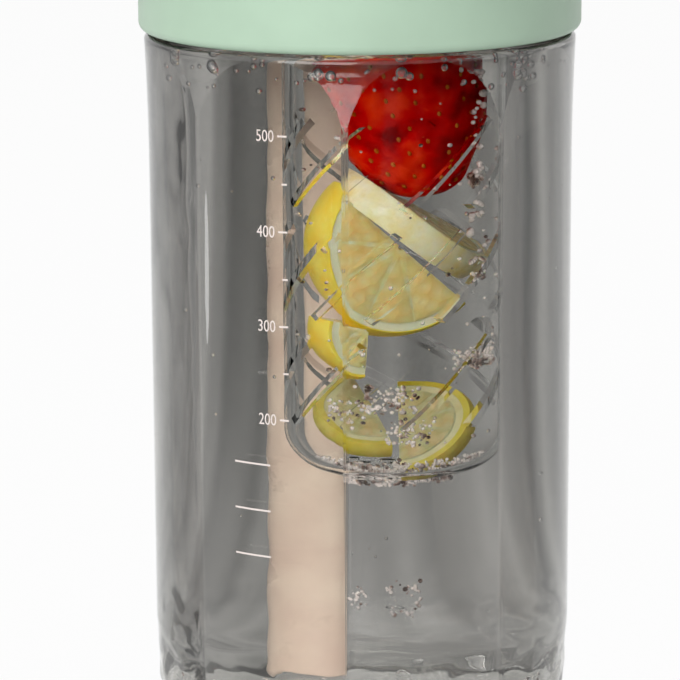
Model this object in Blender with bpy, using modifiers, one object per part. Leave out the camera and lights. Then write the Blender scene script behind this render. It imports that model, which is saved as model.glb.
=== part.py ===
"""Tea infuser bottle: a clear bottle, octagonal inside, whose screw lid carries a straw and an infuser.

Metres, +Z up, origin at the centre of the base. The lid's own frame is turned about +Z by LID_ANGLE:
there the straw and mouthpiece lie on +Y, the infuser on -Y, and both hinges run along X.
"""

import math

import bmesh
import bpy
from mathutils import Matrix, Vector

MM = 0.001

# Fits
GAP = 0.3 * MM  # between two pieces that seat on each other
RUN = 0.1 * MM  # round a pin, on the radius
OVERCUT = 1.0 * MM  # how far a cutter passes the face it opens

# Bottle
BODY_R = 43.0 * MM
BODY_H = 143.4 * MM  # to the ledge under the lid
BODY_WALL = 2.0 * MM  # at the corners of the cavity
FLARE_H = 26.0 * MM  # the wall runs out to the ledge's radius over this
BASE_CORNER_R = 11.0 * MM
LEDGE_ROUND = 1.2 * MM
BASE_T = 7.8 * MM
CAVITY_SIDES = 8
CAVITY_TURN = math.radians(-4.5)  # of a corner, from -Y
FLOOR_FILLET = 6.0 * MM
ARCH_H = 24.0 * MM  # the cavity closes to the neck over this
NECK_BORE_R = 36.2 * MM
NECK_WALL = 2.4 * MM
NECK_H = 22.3 * MM
LEDGE_W = 5.0 * MM

# Lid
LID_ANGLE = math.radians(25)
LID_GAP = 0.6 * MM  # from the bottle's ledge to the lid's edge
THREAD_ROOM = 1.4 * MM
LINER_WALL = 2.3 * MM
LINER_TOP_T = 2.0 * MM
LINER_RISE = 2.0 * MM  # from the shell's edge to the liner's
SHELL_WALL = 2.1 * MM
SHELL_TOP_T = 1.7 * MM
SHELL_ROUND = 6.0 * MM
SHELL_EDGE_ROUND = 1.9 * MM
GASKET_T = 1.7 * MM

# Infuser, which takes the room that the straw leaves in the neck
INFUSER_WALL = 1.5 * MM
INFUSER_DROP = 87.3 * MM  # from the lid's edge to the infuser's lowest point
INFUSER_CORNER_R = 9.0 * MM
LIP_T = 1.5 * MM
SEAL_T = 1.6 * MM
SEAL_W = 2.4 * MM
COLLAR_WALL = 1.7 * MM
COLLAR_H = 13.0 * MM
GRIP_H = 2.2 * MM
GRIP_PROUD = 1.2 * MM
GRIP_NOTCHES = 16
GRIP_NOTCH_R = 0.9 * MM
BOSS_WALL = 1.6 * MM
BOSS_H = 18.0 * MM
BOSS_CLEAR = 0.4 * MM  # to the neck's bore
SLEEVE_CLEAR = 0.2 * MM  # to the straw's sleeve
SLOT_ROWS = 3
SLOTS_AROUND = 9
SLOT_W = 1.5 * MM
SLOT_L = 24.0 * MM
SLOT_TILT = math.radians(46)
SLOT_ROW_PITCH = 22.0 * MM
SLOT_FIRST = 20.0 * MM  # from the infuser's lowest point to the middle of the first row
HOLE_R = 1.1 * MM
HOLE_RINGS = ((0.0, 1), (3.8 * MM, 5), (7.6 * MM, 10))  # radius and count

# Straw and mouthpiece
STRAW_R = 5.1 * MM
STRAW_WALL = 1.2 * MM
STRAW_END_ROUND = 0.9 * MM
STRAW_CLEAR = 0.8 * MM  # from the bottle's floor to the straw's end
GROMMET_WALL = 1.5 * MM
GROMMET_H = 8.0 * MM
GROMMET_FLANGE_T = 1.3 * MM
SLEEVE_WALL = 1.2 * MM
SPOUT_R = 6.0 * MM
SPOUT_WAIST_R = 4.9 * MM
SPOUT_BORE_R = 2.4 * MM
SPOUT_MOUTH_R = 3.0 * MM
SPOUT_H = 11.4 * MM  # above its flange
SPOUT_FOOT_H = 1.4 * MM
SPOUT_WAIST_H = 5.7 * MM
SPOUT_FLANGE_R = 8.4 * MM
SPOUT_FLANGE_T = 1.6 * MM
SPOUT_STUB_L = 10.0 * MM
RING_LAP = 2.0 * MM  # past the spout's flange
RING_CLEAR = 0.95 * MM  # to the cover's front wall
RING_T = 1.4 * MM

# Vent
VENT_X = 10.5 * MM
VENT_BACK = 9.0 * MM  # behind the straw
VENT_STEM_R = 1.2 * MM
VENT_CAP_R = 2.8 * MM
VENT_CAP_T = 1.3 * MM
VENT_STEM_L = 5.0 * MM

# Flip cover and its hinge
COVER_BACK_Y = -3.5 * MM
COVER_HALF_W = 15.5 * MM
COVER_H = 14.5 * MM
COVER_WALL = 1.8 * MM
COVER_CORNER_R = 11.0 * MM
COVER_TOP_ROUND = 4.5 * MM
COVER_LEAN = 0.1  # how far its sides lean in, for each unit of height
HINGE_Y = -8.0 * MM
HINGE_RISE = 5.5 * MM  # axis above the lid's top
HINGE_PIN_R = 1.2 * MM
KNUCKLE_R = 3.4 * MM
KNUCKLE_HALF_W = 7.3 * MM
LUG_W = 2.8 * MM
PIN_SHY = 0.3 * MM  # how far a pin's end stops short of its lug's face
WEB_HALF_T = 1.7 * MM
PLUG_R = 4.6 * MM
PLUG_T = 1.0 * MM
PEG_R = 1.9 * MM
PEG_L = 2.0 * MM

# Latch
HOUSING_INSET = 5.4 * MM  # from the lid's edge
HOUSING_HALF_W = 8.5 * MM
HOUSING_L = 7.5 * MM
HOUSING_H = 11.0 * MM
HOUSING_WALL = 1.5 * MM
HOUSING_ROUND = 1.6 * MM
HOUSING_LEAN = 0.14  # of its front and sides
BUTTON_PROUD = 1.6 * MM
BUTTON_TRAVEL = 1.4 * MM
BUTTON_ROUND = 0.7 * MM
ARM_HALF_W = 2.0 * MM
ARM_T = 1.5 * MM
SPRING_L = 4.0 * MM
SPRING_R = 1.7 * MM
SPRING_WIRE_R = 0.3 * MM
SPRING_TURNS = 4

# Carry handle
HANDLE_INSET = 11.3 * MM  # from the lid's edge to the bar's middle
HANDLE_BAR_R = 2.6 * MM
HANDLE_PIN_R = 1.2 * MM
HANDLE_BOSS_W = 3.7 * MM

# Roundness
FINE = 48
MEDIUM = 36
SMALL = 20

# Places that follow from the sizes
CAVITY_CORNER_R = BODY_R - BODY_WALL
NECK_R = NECK_BORE_R + NECK_WALL
BODY_TOP_R = NECK_R + LEDGE_W
RIM_Z = BODY_H + NECK_H
LID_Z = BODY_H + LID_GAP
LINER_BORE_R = NECK_R + THREAD_ROOM
LINER_R = LINER_BORE_R + LINER_WALL
LINER_Z = LID_Z + LINER_RISE
GASKET_Z = RIM_Z + GAP
LINER_UNDER = GASKET_Z + GASKET_T + GAP
LINER_TOP = LINER_UNDER + LINER_TOP_T
SHELL_BORE_R = LINER_R + GAP
LID_R = SHELL_BORE_R + SHELL_WALL
SHELL_UNDER = LINER_TOP + GAP
LID_TOP = SHELL_UNDER + SHELL_TOP_T
SHELL_MIDDLE = SHELL_UNDER + SHELL_TOP_T / 2
BOSS_Z = LINER_UNDER - BOSS_H

HOUSING_FRONT_Y = LID_R - HOUSING_INSET
HOUSING_BACK_Y = HOUSING_FRONT_Y - HOUSING_L
HOUSING_TOP = LID_TOP + HOUSING_H
WELL_HALF_W = HOUSING_HALF_W - HOUSING_WALL
WELL_Y = (HOUSING_BACK_Y + HOUSING_WALL, HOUSING_FRONT_Y - HOUSING_WALL)
WELL_Z = LID_TOP + HOUSING_WALL
SPRING_Z = WELL_Z + GAP
BUTTON_Z = SPRING_Z + SPRING_L + GAP
BUTTON_TOP = HOUSING_TOP + BUTTON_PROUD

HINGE_Z = LID_TOP + HINGE_RISE
LUG_IN = KNUCKLE_HALF_W + GAP
COVER_Z = LID_TOP + GAP
COVER_TOP = COVER_Z + COVER_H
PLUG_TOP = COVER_TOP - COVER_WALL - GAP
SWING_Y = HOUSING_BACK_Y - GAP  # as far as the cover's lower front edge may swing
COVER_FRONT_Y = HINGE_Y + math.sqrt((SWING_Y - HINGE_Y) ** 2 - (HINGE_Z - COVER_Z) ** 2)

RING_R = SPOUT_FLANGE_R + RING_LAP
STRAW_Y = COVER_FRONT_Y - COVER_WALL - RING_CLEAR - RING_R
VENT_Y = STRAW_Y - VENT_BACK
STRAW_BORE_R = STRAW_R - STRAW_WALL
GROMMET_BORE_R = STRAW_R + GAP
GROMMET_R = GROMMET_BORE_R + GROMMET_WALL
SLEEVE_BORE_R = GROMMET_R + GAP
SLEEVE_R = SLEEVE_BORE_R + SLEEVE_WALL
STRAW_Z = BASE_T + STRAW_CLEAR
STRAW_TOP = LINER_UNDER - GAP
STUB_R = STRAW_BORE_R - GAP
SPOUT_FLANGE_TOP = SHELL_UNDER + SPOUT_FLANGE_T
SPOUT_TOP = SPOUT_FLANGE_TOP + SPOUT_H

BOSS_FAR_Y = BOSS_CLEAR - NECK_BORE_R
BOSS_NEAR_Y = STRAW_Y - SLEEVE_R - SLEEVE_CLEAR
INFUSER_Y = (BOSS_FAR_Y + BOSS_NEAR_Y) / 2
BOSS_R = (BOSS_NEAR_Y - BOSS_FAR_Y) / 2
BOSS_BORE_R = BOSS_R - BOSS_WALL
COLLAR_R = BOSS_BORE_R - GAP
COLLAR_BORE_R = COLLAR_R - COLLAR_WALL
INFUSER_R = COLLAR_BORE_R - GAP
SEAL_TOP = LINER_UNDER - GAP
LIP_TOP = SEAL_TOP - SEAL_T - GAP
COLLAR_TOP = LIP_TOP - LIP_T - GAP
INFUSER_Z = LID_Z - INFUSER_DROP

HANDLE_R = LID_R - HANDLE_INSET
HANDLE_Z = LID_TOP + GAP + HANDLE_BAR_R
EYE_IN = HANDLE_R - HANDLE_BAR_R - GAP
EYE_OUT = HANDLE_R + HANDLE_BAR_R + GAP

# Colour, roughness, metallic
FINISHES = {
    "clear": ((0.86, 0.89, 0.88), 0.06, 0.0),
    "mint": ((0.50, 0.69, 0.54), 0.42, 0.0),
    "white": ((0.86, 0.88, 0.85), 0.45, 0.0),
    "straw": ((0.79, 0.60, 0.50), 0.40, 0.0),
    "silicone": ((0.90, 0.90, 0.88), 0.60, 0.0),
    "steel": ((0.62, 0.62, 0.60), 0.25, 1.0),
}

parts = None
cutters = None
lid_frame = None


def clear_scene():
    for obj in list(bpy.data.objects):
        bpy.data.objects.remove(obj)


def new_collection(name):
    collection = bpy.data.collections.new(name)
    bpy.context.scene.collection.children.link(collection)
    return collection


def material(finish):
    """The shared settings of a finish, as a new material for one piece."""
    colour, roughness, metallic = FINISHES[finish]
    mat = bpy.data.materials.new(finish)
    mat.use_nodes = True
    shader = mat.node_tree.nodes["Principled BSDF"]
    shader.inputs["Base Color"].default_value = (*colour, 1.0)
    shader.inputs["Roughness"].default_value = roughness
    shader.inputs["Metallic"].default_value = metallic
    return mat


def add_object(name, data):
    obj = bpy.data.objects.new(name, data)
    parts.objects.link(obj)
    return obj


def as_piece(obj, finish, frame=None, origin=None):
    """Gives a piece its own material and frame, with its origin on its joint's axis."""
    obj.data.materials.clear()
    obj.data.materials.append(material(finish))
    obj.parent = frame
    if origin is not None:
        obj.data.transform(Matrix.Translation(-Vector(origin)))
        obj.location = origin
    obj.data.shade_smooth()
    obj.data.set_sharp_from_angle(angle=math.radians(35))
    return obj


def as_cutter(obj, frame=None):
    obj.parent = frame
    obj.hide_render = True
    obj.display_type = "WIRE"
    parts.objects.unlink(obj)
    cutters.objects.link(obj)
    return obj


def combine(obj, tool, operation):
    mod = obj.modifiers.new(operation.lower(), "BOOLEAN")
    mod.operation = operation
    mod.solver = "EXACT"
    mod.object = tool
    return obj


def cut(obj, tool):
    return combine(obj, tool, "DIFFERENCE")


def join(obj, tool):
    return combine(obj, tool, "UNION")


def arc(centre_r, centre_z, radius, start, end, steps):
    """Points of a round stretch of a profile, angles in degrees from +R."""
    angles = (math.radians(start + (end - start) * i / steps) for i in range(steps + 1))
    return [(centre_r + radius * math.cos(a), centre_z + radius * math.sin(a)) for a in angles]


def turned(name, profile, steps, centre=(0.0, 0.0), closed=False):
    """A profile of (radius, height) points turned about a vertical axis; it runs down its outer side."""
    mesh = bpy.data.meshes.new(name)
    edges = [(i, i + 1) for i in range(len(profile) - 1)]
    if closed:
        edges.append((len(profile) - 1, 0))
    mesh.from_pydata([(r, 0.0, z) for r, z in profile], edges, [])
    obj = add_object(name, mesh)
    screw = obj.modifiers.new("turn", "SCREW")
    screw.axis = "Z"
    screw.angle = 2 * math.pi
    screw.steps = steps
    screw.render_steps = steps
    screw.use_merge_vertices = True
    screw.merge_threshold = 0.00001
    screw.use_smooth_shade = True
    fix_mesh(obj)
    obj.data.transform(Matrix.Translation((*centre, 0.0)))
    return obj


def fix_mesh(obj):
    """Turns an object's modifiers into its mesh."""
    depsgraph = bpy.context.evaluated_depsgraph_get()
    made = bpy.data.meshes.new_from_object(obj.evaluated_get(depsgraph))
    obj.modifiers.clear()
    obj.data = made


def ring(name, inner_r, outer_r, low, high, steps, centre=(0.0, 0.0)):
    profile = [(inner_r, high), (outer_r, high), (outer_r, low), (inner_r, low)]
    return turned(name, profile, steps, centre, closed=True)


def rod(name, radius, low, high, steps, centre=(0.0, 0.0)):
    """A vertical cylinder."""
    profile = [(0.0, high), (radius, high), (radius, low), (0.0, low)]
    return turned(name, profile, steps, centre)


def cross_rod(name, radius, x_low, x_high, y, z, steps=SMALL):
    """A cylinder along X."""
    mesh = bpy.data.meshes.new(name)
    bm = bmesh.new()
    bmesh.ops.create_cone(
        bm, cap_ends=True, segments=steps, radius1=radius, radius2=radius, depth=x_high - x_low
    )
    turn = Matrix.Rotation(math.pi / 2, 4, "Y")
    place = Matrix.Translation(((x_low + x_high) / 2, y, z))
    bm.transform(place @ turn)
    bm.to_mesh(mesh)
    bm.free()
    return add_object(name, mesh)


def box(name, x, y, z, upright_round=0.0, top_round=0.0, segments=4, lean=(0.0, 0.0, 0.0)):
    """A box between two corners, with rounded upright edges and a rounded top.

    lean is how far the sides, the low end and the high end come in, for each unit of height.
    """
    mesh = bpy.data.meshes.new(name)
    bm = bmesh.new()
    bmesh.ops.create_cube(bm, size=1.0)
    size = Vector((x[1] - x[0], y[1] - y[0], z[1] - z[0]))
    middle = Vector((x[0] + x[1], y[0] + y[1], z[0] + z[1])) / 2
    bm.transform(Matrix.Translation(middle) @ Matrix.Diagonal((*size, 1.0)))
    for v in bm.verts:
        rise = v.co.z - z[0]
        v.co.x -= math.copysign(lean[0] * rise, v.co.x - middle.x)
        v.co.y += lean[1] * rise if v.co.y < middle.y else -lean[2] * rise
    if upright_round:
        upright = [e for e in bm.edges if abs(e.verts[0].co.z - e.verts[1].co.z) > size.z / 2]
        bmesh.ops.bevel(
            bm, geom=upright, offset=upright_round, segments=segments, profile=0.5, affect="EDGES"
        )
    if top_round:
        top = [e for e in bm.edges if min(v.co.z for v in e.verts) > z[1] - size.z * 0.001]
        bmesh.ops.bevel(bm, geom=top, offset=top_round, segments=3, profile=0.5, affect="EDGES")
    bm.to_mesh(mesh)
    bm.free()
    return add_object(name, mesh)


def bar(name, points, radius, resolution):
    """A round bar or wire along points, as a mesh with closed ends."""
    curve = bpy.data.curves.new(name, "CURVE")
    curve.dimensions = "3D"
    spline = curve.splines.new("POLY")
    spline.points.add(len(points) - 1)
    for point, place in zip(spline.points, points):
        point.co = (*place, 1.0)
    curve.bevel_depth = radius
    curve.bevel_resolution = resolution
    curve.use_fill_caps = True
    return curve_to_mesh(name, curve)


def plate(name, outline, thickness):
    """A flat outline of (x, y) points with a thickness along Z, half to each side."""
    curve = bpy.data.curves.new(name, "CURVE")
    curve.dimensions = "2D"
    spline = curve.splines.new("POLY")
    spline.points.add(len(outline) - 1)
    for point, place in zip(spline.points, outline):
        point.co = (*place, 0.0, 1.0)
    spline.use_cyclic_u = True
    curve.fill_mode = "BOTH"
    curve.extrude = thickness / 2
    return curve_to_mesh(name, curve)


def curve_to_mesh(name, curve):
    """A curve as a welded mesh object."""
    guide = bpy.data.objects.new(name + "_guide", curve)
    parts.objects.link(guide)
    mesh = bpy.data.meshes.new_from_object(guide.evaluated_get(bpy.context.evaluated_depsgraph_get()))
    bm = bmesh.new()
    bm.from_mesh(mesh)
    bmesh.ops.remove_doubles(bm, verts=bm.verts, dist=0.000001)
    bm.to_mesh(mesh)
    bm.free()
    bpy.data.objects.remove(guide)
    return add_object(name, mesh)


def bottle_cavity():
    """The inside: an octagonal prism, closed at the top by a dome that ends each flat in an arch."""
    ease = 6
    arch_low = BODY_H - ARCH_H
    shoulder = [
        (
            NECK_BORE_R + (CAVITY_CORNER_R + GAP - NECK_BORE_R) * math.sin(math.pi / 2 * i / ease),
            arch_low + ARCH_H * math.cos(math.pi / 2 * i / ease),
        )
        for i in range(ease + 1)
    ]
    fillet = arc(
        CAVITY_CORNER_R + GAP - FLOOR_FILLET, BASE_T + FLOOR_FILLET, FLOOR_FILLET, 0, -90, 4
    )
    profile = [(0.0, BODY_H), *shoulder, *fillet, (0.0, BASE_T)]
    cavity = as_cutter(turned("cavity_dome", profile, FINE))
    mesh = bpy.data.meshes.new("cavity_prism")
    bm = bmesh.new()
    bmesh.ops.create_cone(
        bm,
        cap_ends=True,
        segments=CAVITY_SIDES,
        radius1=CAVITY_CORNER_R,
        radius2=CAVITY_CORNER_R,
        depth=BODY_H + 2 * OVERCUT,
        matrix=Matrix.Translation((0.0, 0.0, BODY_H / 2)) @ Matrix.Rotation(CAVITY_TURN, 4, "Z"),
    )
    bm.to_mesh(mesh)
    bm.free()
    prism = as_cutter(add_object("cavity_prism", mesh))
    return combine(cavity, prism, "INTERSECT")


def bottle_body():
    """The clear bottle: thick base, straight wall that flares a little under the lid, ledge and neck."""
    flare = 4
    profile = [
        (0.0, RIM_Z),
        (NECK_R - LEDGE_ROUND, RIM_Z),
        *arc(NECK_R - LEDGE_ROUND, RIM_Z - LEDGE_ROUND, LEDGE_ROUND, 60, 0, 2),
        (NECK_R, BODY_H),
        *arc(BODY_TOP_R - LEDGE_ROUND, BODY_H - LEDGE_ROUND, LEDGE_ROUND, 90, 0, 2),
    ]
    for i in range(1, flare + 1):
        drop = i / flare
        radius = BODY_R + (BODY_TOP_R - BODY_R) * (1 - drop) ** 2
        profile.append((radius, BODY_H - LEDGE_ROUND - FLARE_H * drop))
    profile += arc(BODY_R - BASE_CORNER_R, BASE_CORNER_R, BASE_CORNER_R, 0, -90, 6)
    profile.append((0.0, 0.0))
    body = as_piece(turned("bottle_body", profile, FINE), "clear")
    cut(body, bottle_cavity())
    bore = as_cutter(rod("neck_bore", NECK_BORE_R, BODY_H - OVERCUT, RIM_Z + OVERCUT, FINE))
    return cut(body, bore)


def lid_shell():
    """The coloured outer cap: skirt, rounded shoulder, latch housing, cover lugs and handle bosses."""
    inner_round = SHELL_ROUND - SHELL_WALL
    profile = [
        (0.0, LID_TOP),
        *arc(LID_R - SHELL_ROUND, LID_TOP - SHELL_ROUND, SHELL_ROUND, 90, 0, 5),
        *arc(LID_R - SHELL_EDGE_ROUND, LID_Z + SHELL_EDGE_ROUND, SHELL_EDGE_ROUND, 0, -90, 3),
        (SHELL_BORE_R, LID_Z),
        *arc(SHELL_BORE_R - inner_round, SHELL_UNDER - inner_round, inner_round, 0, 90, 3),
        (0.0, SHELL_UNDER),
    ]
    shell = as_piece(turned("lid_shell", profile, FINE), "mint", lid_frame)
    for tool in (latch_housing(), *handle_bosses(), *cover_lugs()):
        join(shell, as_cutter(tool, lid_frame))
    low, high = SHELL_UNDER - OVERCUT, LID_TOP + OVERCUT
    holes = (
        rod("spout_hole", SPOUT_FLANGE_R + GAP, low, high, SMALL, (0.0, STRAW_Y)),
        rod("vent_hole", VENT_CAP_R + GAP, low, high, SMALL, (VENT_X, VENT_Y)),
        box(
            "button_well",
            (-WELL_HALF_W, WELL_HALF_W),
            WELL_Y,
            (WELL_Z, HOUSING_TOP + OVERCUT),
        ),
        box(
            "arm_slot",
            (-ARM_HALF_W - GAP, ARM_HALF_W + GAP),
            (HOUSING_BACK_Y - OVERCUT, WELL_Y[0] + OVERCUT),
            (BUTTON_Z - BUTTON_TRAVEL - GAP, BUTTON_Z + ARM_T + GAP),
        ),
        cross_rod(
            "hinge_bore",
            HINGE_PIN_R + RUN,
            -LUG_IN - LUG_W - OVERCUT,
            LUG_IN + LUG_W + OVERCUT,
            HINGE_Y,
            HINGE_Z,
        ),
        cross_rod("handle_bore", HANDLE_PIN_R + RUN, -EYE_IN, EYE_IN, 0.0, HANDLE_Z),
    )
    for hole in holes:
        cut(shell, as_cutter(hole, lid_frame))
    return shell


def latch_housing():
    """A block that narrows upwards; its back stands upright, next to the cover."""
    foot = HOUSING_LEAN * (HOUSING_TOP - SHELL_MIDDLE)
    return box(
        "latch_housing",
        (-HOUSING_HALF_W - foot, HOUSING_HALF_W + foot),
        (HOUSING_BACK_Y, HOUSING_FRONT_Y + foot),
        (SHELL_MIDDLE, HOUSING_TOP),
        HOUSING_ROUND,
        HOUSING_ROUND / 2,
        3,
        (HOUSING_LEAN, 0.0, HOUSING_LEAN),
    )


def upright_lug(name, x, y, z, radius):
    """A lug that stands on the lid: an outline that is round on top, about an axis along X."""
    low = SHELL_MIDDLE - z
    outline = [(-radius, low), (radius, low), *arc(0.0, 0.0, radius, 0, 180, 12)]
    lug = plate(name, outline, x[1] - x[0])
    stand = Matrix(((0, 0, 1), (1, 0, 0), (0, 1, 0))).to_4x4()
    lug.data.transform(Matrix.Translation(((x[0] + x[1]) / 2, y, z)) @ stand)
    return lug


def cover_lugs():
    spans = ((LUG_IN, LUG_IN + LUG_W), (-LUG_IN - LUG_W, -LUG_IN))
    return [
        upright_lug(f"cover_lug_{i}", span, HINGE_Y, HINGE_Z, KNUCKLE_R)
        for i, span in enumerate(spans)
    ]


def handle_bosses():
    high = EYE_IN - GAP
    low = high - HANDLE_BOSS_W
    return [
        upright_lug(f"handle_boss_{i}", span, 0.0, HANDLE_Z, HANDLE_BAR_R)
        for i, span in enumerate(((low, high), (-high, -low)))
    ]


def lid_liner():
    """The inner cap: threaded skirt, top plate, the infuser's boss and the straw's sleeve."""
    corner = SHELL_ROUND - SHELL_WALL - GAP
    profile = [
        (0.0, LINER_TOP),
        *arc(LINER_R - corner, LINER_TOP - corner, corner, 90, 0, 3),
        (LINER_R, LINER_Z),
        (LINER_BORE_R, LINER_Z),
        (LINER_BORE_R, LINER_UNDER),
        (0.0, LINER_UNDER),
    ]
    liner = as_piece(turned("lid_liner", profile, FINE), "white", lid_frame)
    plate_middle = LINER_UNDER + LINER_TOP_T / 2
    infuser = (0.0, INFUSER_Y)
    straw = (0.0, STRAW_Y)
    for tool in (
        ring("infuser_boss", BOSS_BORE_R, BOSS_R, BOSS_Z, plate_middle, MEDIUM, infuser),
        ring("straw_sleeve", SLEEVE_BORE_R, SLEEVE_R, BOSS_Z, plate_middle, SMALL, straw),
    ):
        join(liner, as_cutter(tool, lid_frame))
    low, high = LINER_UNDER - OVERCUT, LINER_TOP + OVERCUT
    for hole in (
        rod("stub_hole", STUB_R + GAP, low, high, SMALL, straw),
        rod("stem_hole", VENT_STEM_R + GAP, low, high, SMALL, (VENT_X, VENT_Y)),
    ):
        cut(liner, as_cutter(hole, lid_frame))
    return liner


def lid_gasket():
    """The flat ring between the bottle's rim and the liner, held by the liner's skirt."""
    outer = LINER_BORE_R - GAP
    gasket = ring("lid_gasket", NECK_BORE_R, outer, GASKET_Z, GASKET_Z + GASKET_T, FINE)
    return as_piece(gasket, "silicone", lid_frame)


def infuser_basket():
    """The clear infuser: a round-bottomed tube with a lip, tilted slots and holes in its bottom."""
    corner_z = INFUSER_Z + INFUSER_CORNER_R
    inner_corner = INFUSER_CORNER_R - INFUSER_WALL
    bore_r = INFUSER_R - INFUSER_WALL
    inside = [
        (0.0, INFUSER_Z + INFUSER_WALL),
        *arc(bore_r - inner_corner, corner_z, inner_corner, -90, 0, 5),
        (bore_r, LIP_TOP),
    ]
    outside = [
        (COLLAR_R, LIP_TOP),
        (COLLAR_R, LIP_TOP - LIP_T),
        (INFUSER_R, LIP_TOP - LIP_T),
        *arc(INFUSER_R - INFUSER_CORNER_R, corner_z, INFUSER_CORNER_R, 0, -90, 6),
        (0.0, INFUSER_Z),
    ]
    basket = turned("infuser_basket", inside + outside, MEDIUM, (0.0, INFUSER_Y))
    as_piece(basket, "clear", lid_frame, (0.0, INFUSER_Y, 0.0))
    cut(basket, as_cutter(infuser_slots(), lid_frame))
    drilled = 2 * (INFUSER_WALL + OVERCUT)
    return cut(basket, pegs("infuser_holes", HOLE_RINGS, HOLE_R, drilled, INFUSER_Z))


def infuser_slots():
    """Rows of slots that climb round the wall, each row turned by half a step."""
    mesh = bpy.data.meshes.new("infuser_slots")
    bm = bmesh.new()
    half_run = SLOT_L / 2 * math.cos(SLOT_TILT)
    low = math.sqrt((INFUSER_R - INFUSER_WALL) ** 2 - half_run**2) - OVERCUT
    high = INFUSER_R + OVERCUT
    for row in range(SLOT_ROWS):
        for i in range(SLOTS_AROUND):
            turn = Matrix.Rotation(2 * math.pi * (i + row / 2) / SLOTS_AROUND, 4, "Z")
            out = Matrix.Translation(((low + high) / 2, 0.0, 0.0))
            tilt = Matrix.Rotation(SLOT_TILT, 4, "X")
            size = Matrix.Diagonal((high - low, SLOT_L, SLOT_W, 1.0))
            height = INFUSER_Z + SLOT_FIRST + row * SLOT_ROW_PITCH
            place = Matrix.Translation((0.0, INFUSER_Y, height))
            bmesh.ops.create_cube(bm, size=1.0, matrix=place @ turn @ out @ tilt @ size)
    bm.to_mesh(mesh)
    bm.free()
    return add_object("infuser_slots", mesh)


def pegs(name, rings, radius, height, z):
    """Upright pegs on rings of (radius, count) about the infuser's axis, as one cutter."""
    mesh = bpy.data.meshes.new(name)
    bm = bmesh.new()
    for ring_r, count in rings:
        for i in range(count):
            angle = 2 * math.pi * i / count
            place = (ring_r * math.cos(angle), INFUSER_Y + ring_r * math.sin(angle), z)
            bmesh.ops.create_cone(
                bm,
                cap_ends=True,
                segments=8,
                radius1=radius,
                radius2=radius,
                depth=height,
                matrix=Matrix.Translation(place),
            )
    bm.to_mesh(mesh)
    bm.free()
    return as_cutter(add_object(name, mesh), lid_frame)


def infuser_collar():
    """The ring that screws into the lid and holds the infuser by its lip, with a notched grip below."""
    centre = (0.0, INFUSER_Y)
    grip_r = COLLAR_R + GRIP_PROUD
    low = BOSS_Z - GAP
    profile = [
        (COLLAR_BORE_R, COLLAR_TOP),
        (COLLAR_R, COLLAR_TOP),
        (COLLAR_R, low),
        (grip_r, low),
        (grip_r, low - GRIP_H),
        (COLLAR_BORE_R, low - GRIP_H),
    ]
    collar = turned("infuser_collar", profile, MEDIUM, centre, closed=True)
    as_piece(collar, "white", lid_frame, (0.0, INFUSER_Y, 0.0))
    notches = ((grip_r, GRIP_NOTCHES),)
    tool = pegs("grip_notches", notches, GRIP_NOTCH_R, GRIP_H + GAP, low - GRIP_H / 2)
    return cut(collar, tool)


def infuser_seal():
    outer = COLLAR_R - GAP
    seal = ring(
        "infuser_seal", outer - SEAL_W, outer, SEAL_TOP - SEAL_T, SEAL_TOP, MEDIUM, (0.0, INFUSER_Y)
    )
    return as_piece(seal, "silicone", lid_frame, (0.0, INFUSER_Y, 0.0))


def straw():
    profile = [
        (STRAW_BORE_R, STRAW_TOP),
        (STRAW_R, STRAW_TOP),
        *arc(STRAW_R - STRAW_END_ROUND, STRAW_Z + STRAW_END_ROUND, STRAW_END_ROUND, 0, -90, 3),
        (STRAW_BORE_R, STRAW_Z),
    ]
    tube = turned("straw", profile, SMALL, (0.0, STRAW_Y), closed=True)
    return as_piece(tube, "straw", lid_frame, (0.0, STRAW_Y, 0.0))


def straw_grommet():
    """The soft sleeve that grips the straw in the liner, with a flange under the liner's sleeve."""
    low = BOSS_Z - GAP
    profile = [
        (GROMMET_BORE_R, BOSS_Z + GROMMET_H),
        (GROMMET_R, BOSS_Z + GROMMET_H),
        (GROMMET_R, low),
        (SLEEVE_R, low),
        (SLEEVE_R, low - GROMMET_FLANGE_T),
        (GROMMET_BORE_R, low - GROMMET_FLANGE_T),
    ]
    grommet = turned("straw_grommet", profile, SMALL, (0.0, STRAW_Y), closed=True)
    return as_piece(grommet, "silicone", lid_frame, (0.0, STRAW_Y, 0.0))


def mouthpiece():
    """The soft spout over the straw: stub, flange, waist and rounded lip."""
    lip = (SPOUT_R - SPOUT_MOUTH_R) / 2
    middle = SPOUT_MOUTH_R + lip
    flange_low = SPOUT_FLANGE_TOP - SPOUT_FLANGE_T
    profile = [
        *arc(middle, SPOUT_TOP - lip, lip, 180, 0, 6),
        (SPOUT_WAIST_R, SPOUT_FLANGE_TOP + SPOUT_WAIST_H),
        (SPOUT_R, SPOUT_FLANGE_TOP + SPOUT_FOOT_H),
        (SPOUT_R, SPOUT_FLANGE_TOP),
        (SPOUT_FLANGE_R, SPOUT_FLANGE_TOP),
        (SPOUT_FLANGE_R, flange_low),
        (STUB_R, flange_low),
        (STUB_R, flange_low - SPOUT_STUB_L),
        (SPOUT_BORE_R, flange_low - SPOUT_STUB_L),
        (SPOUT_BORE_R, SPOUT_FLANGE_TOP + SPOUT_WAIST_H),
    ]
    spout = turned("mouthpiece", profile, SMALL, (0.0, STRAW_Y), closed=True)
    return as_piece(spout, "silicone", lid_frame, (0.0, STRAW_Y, 0.0))


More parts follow.
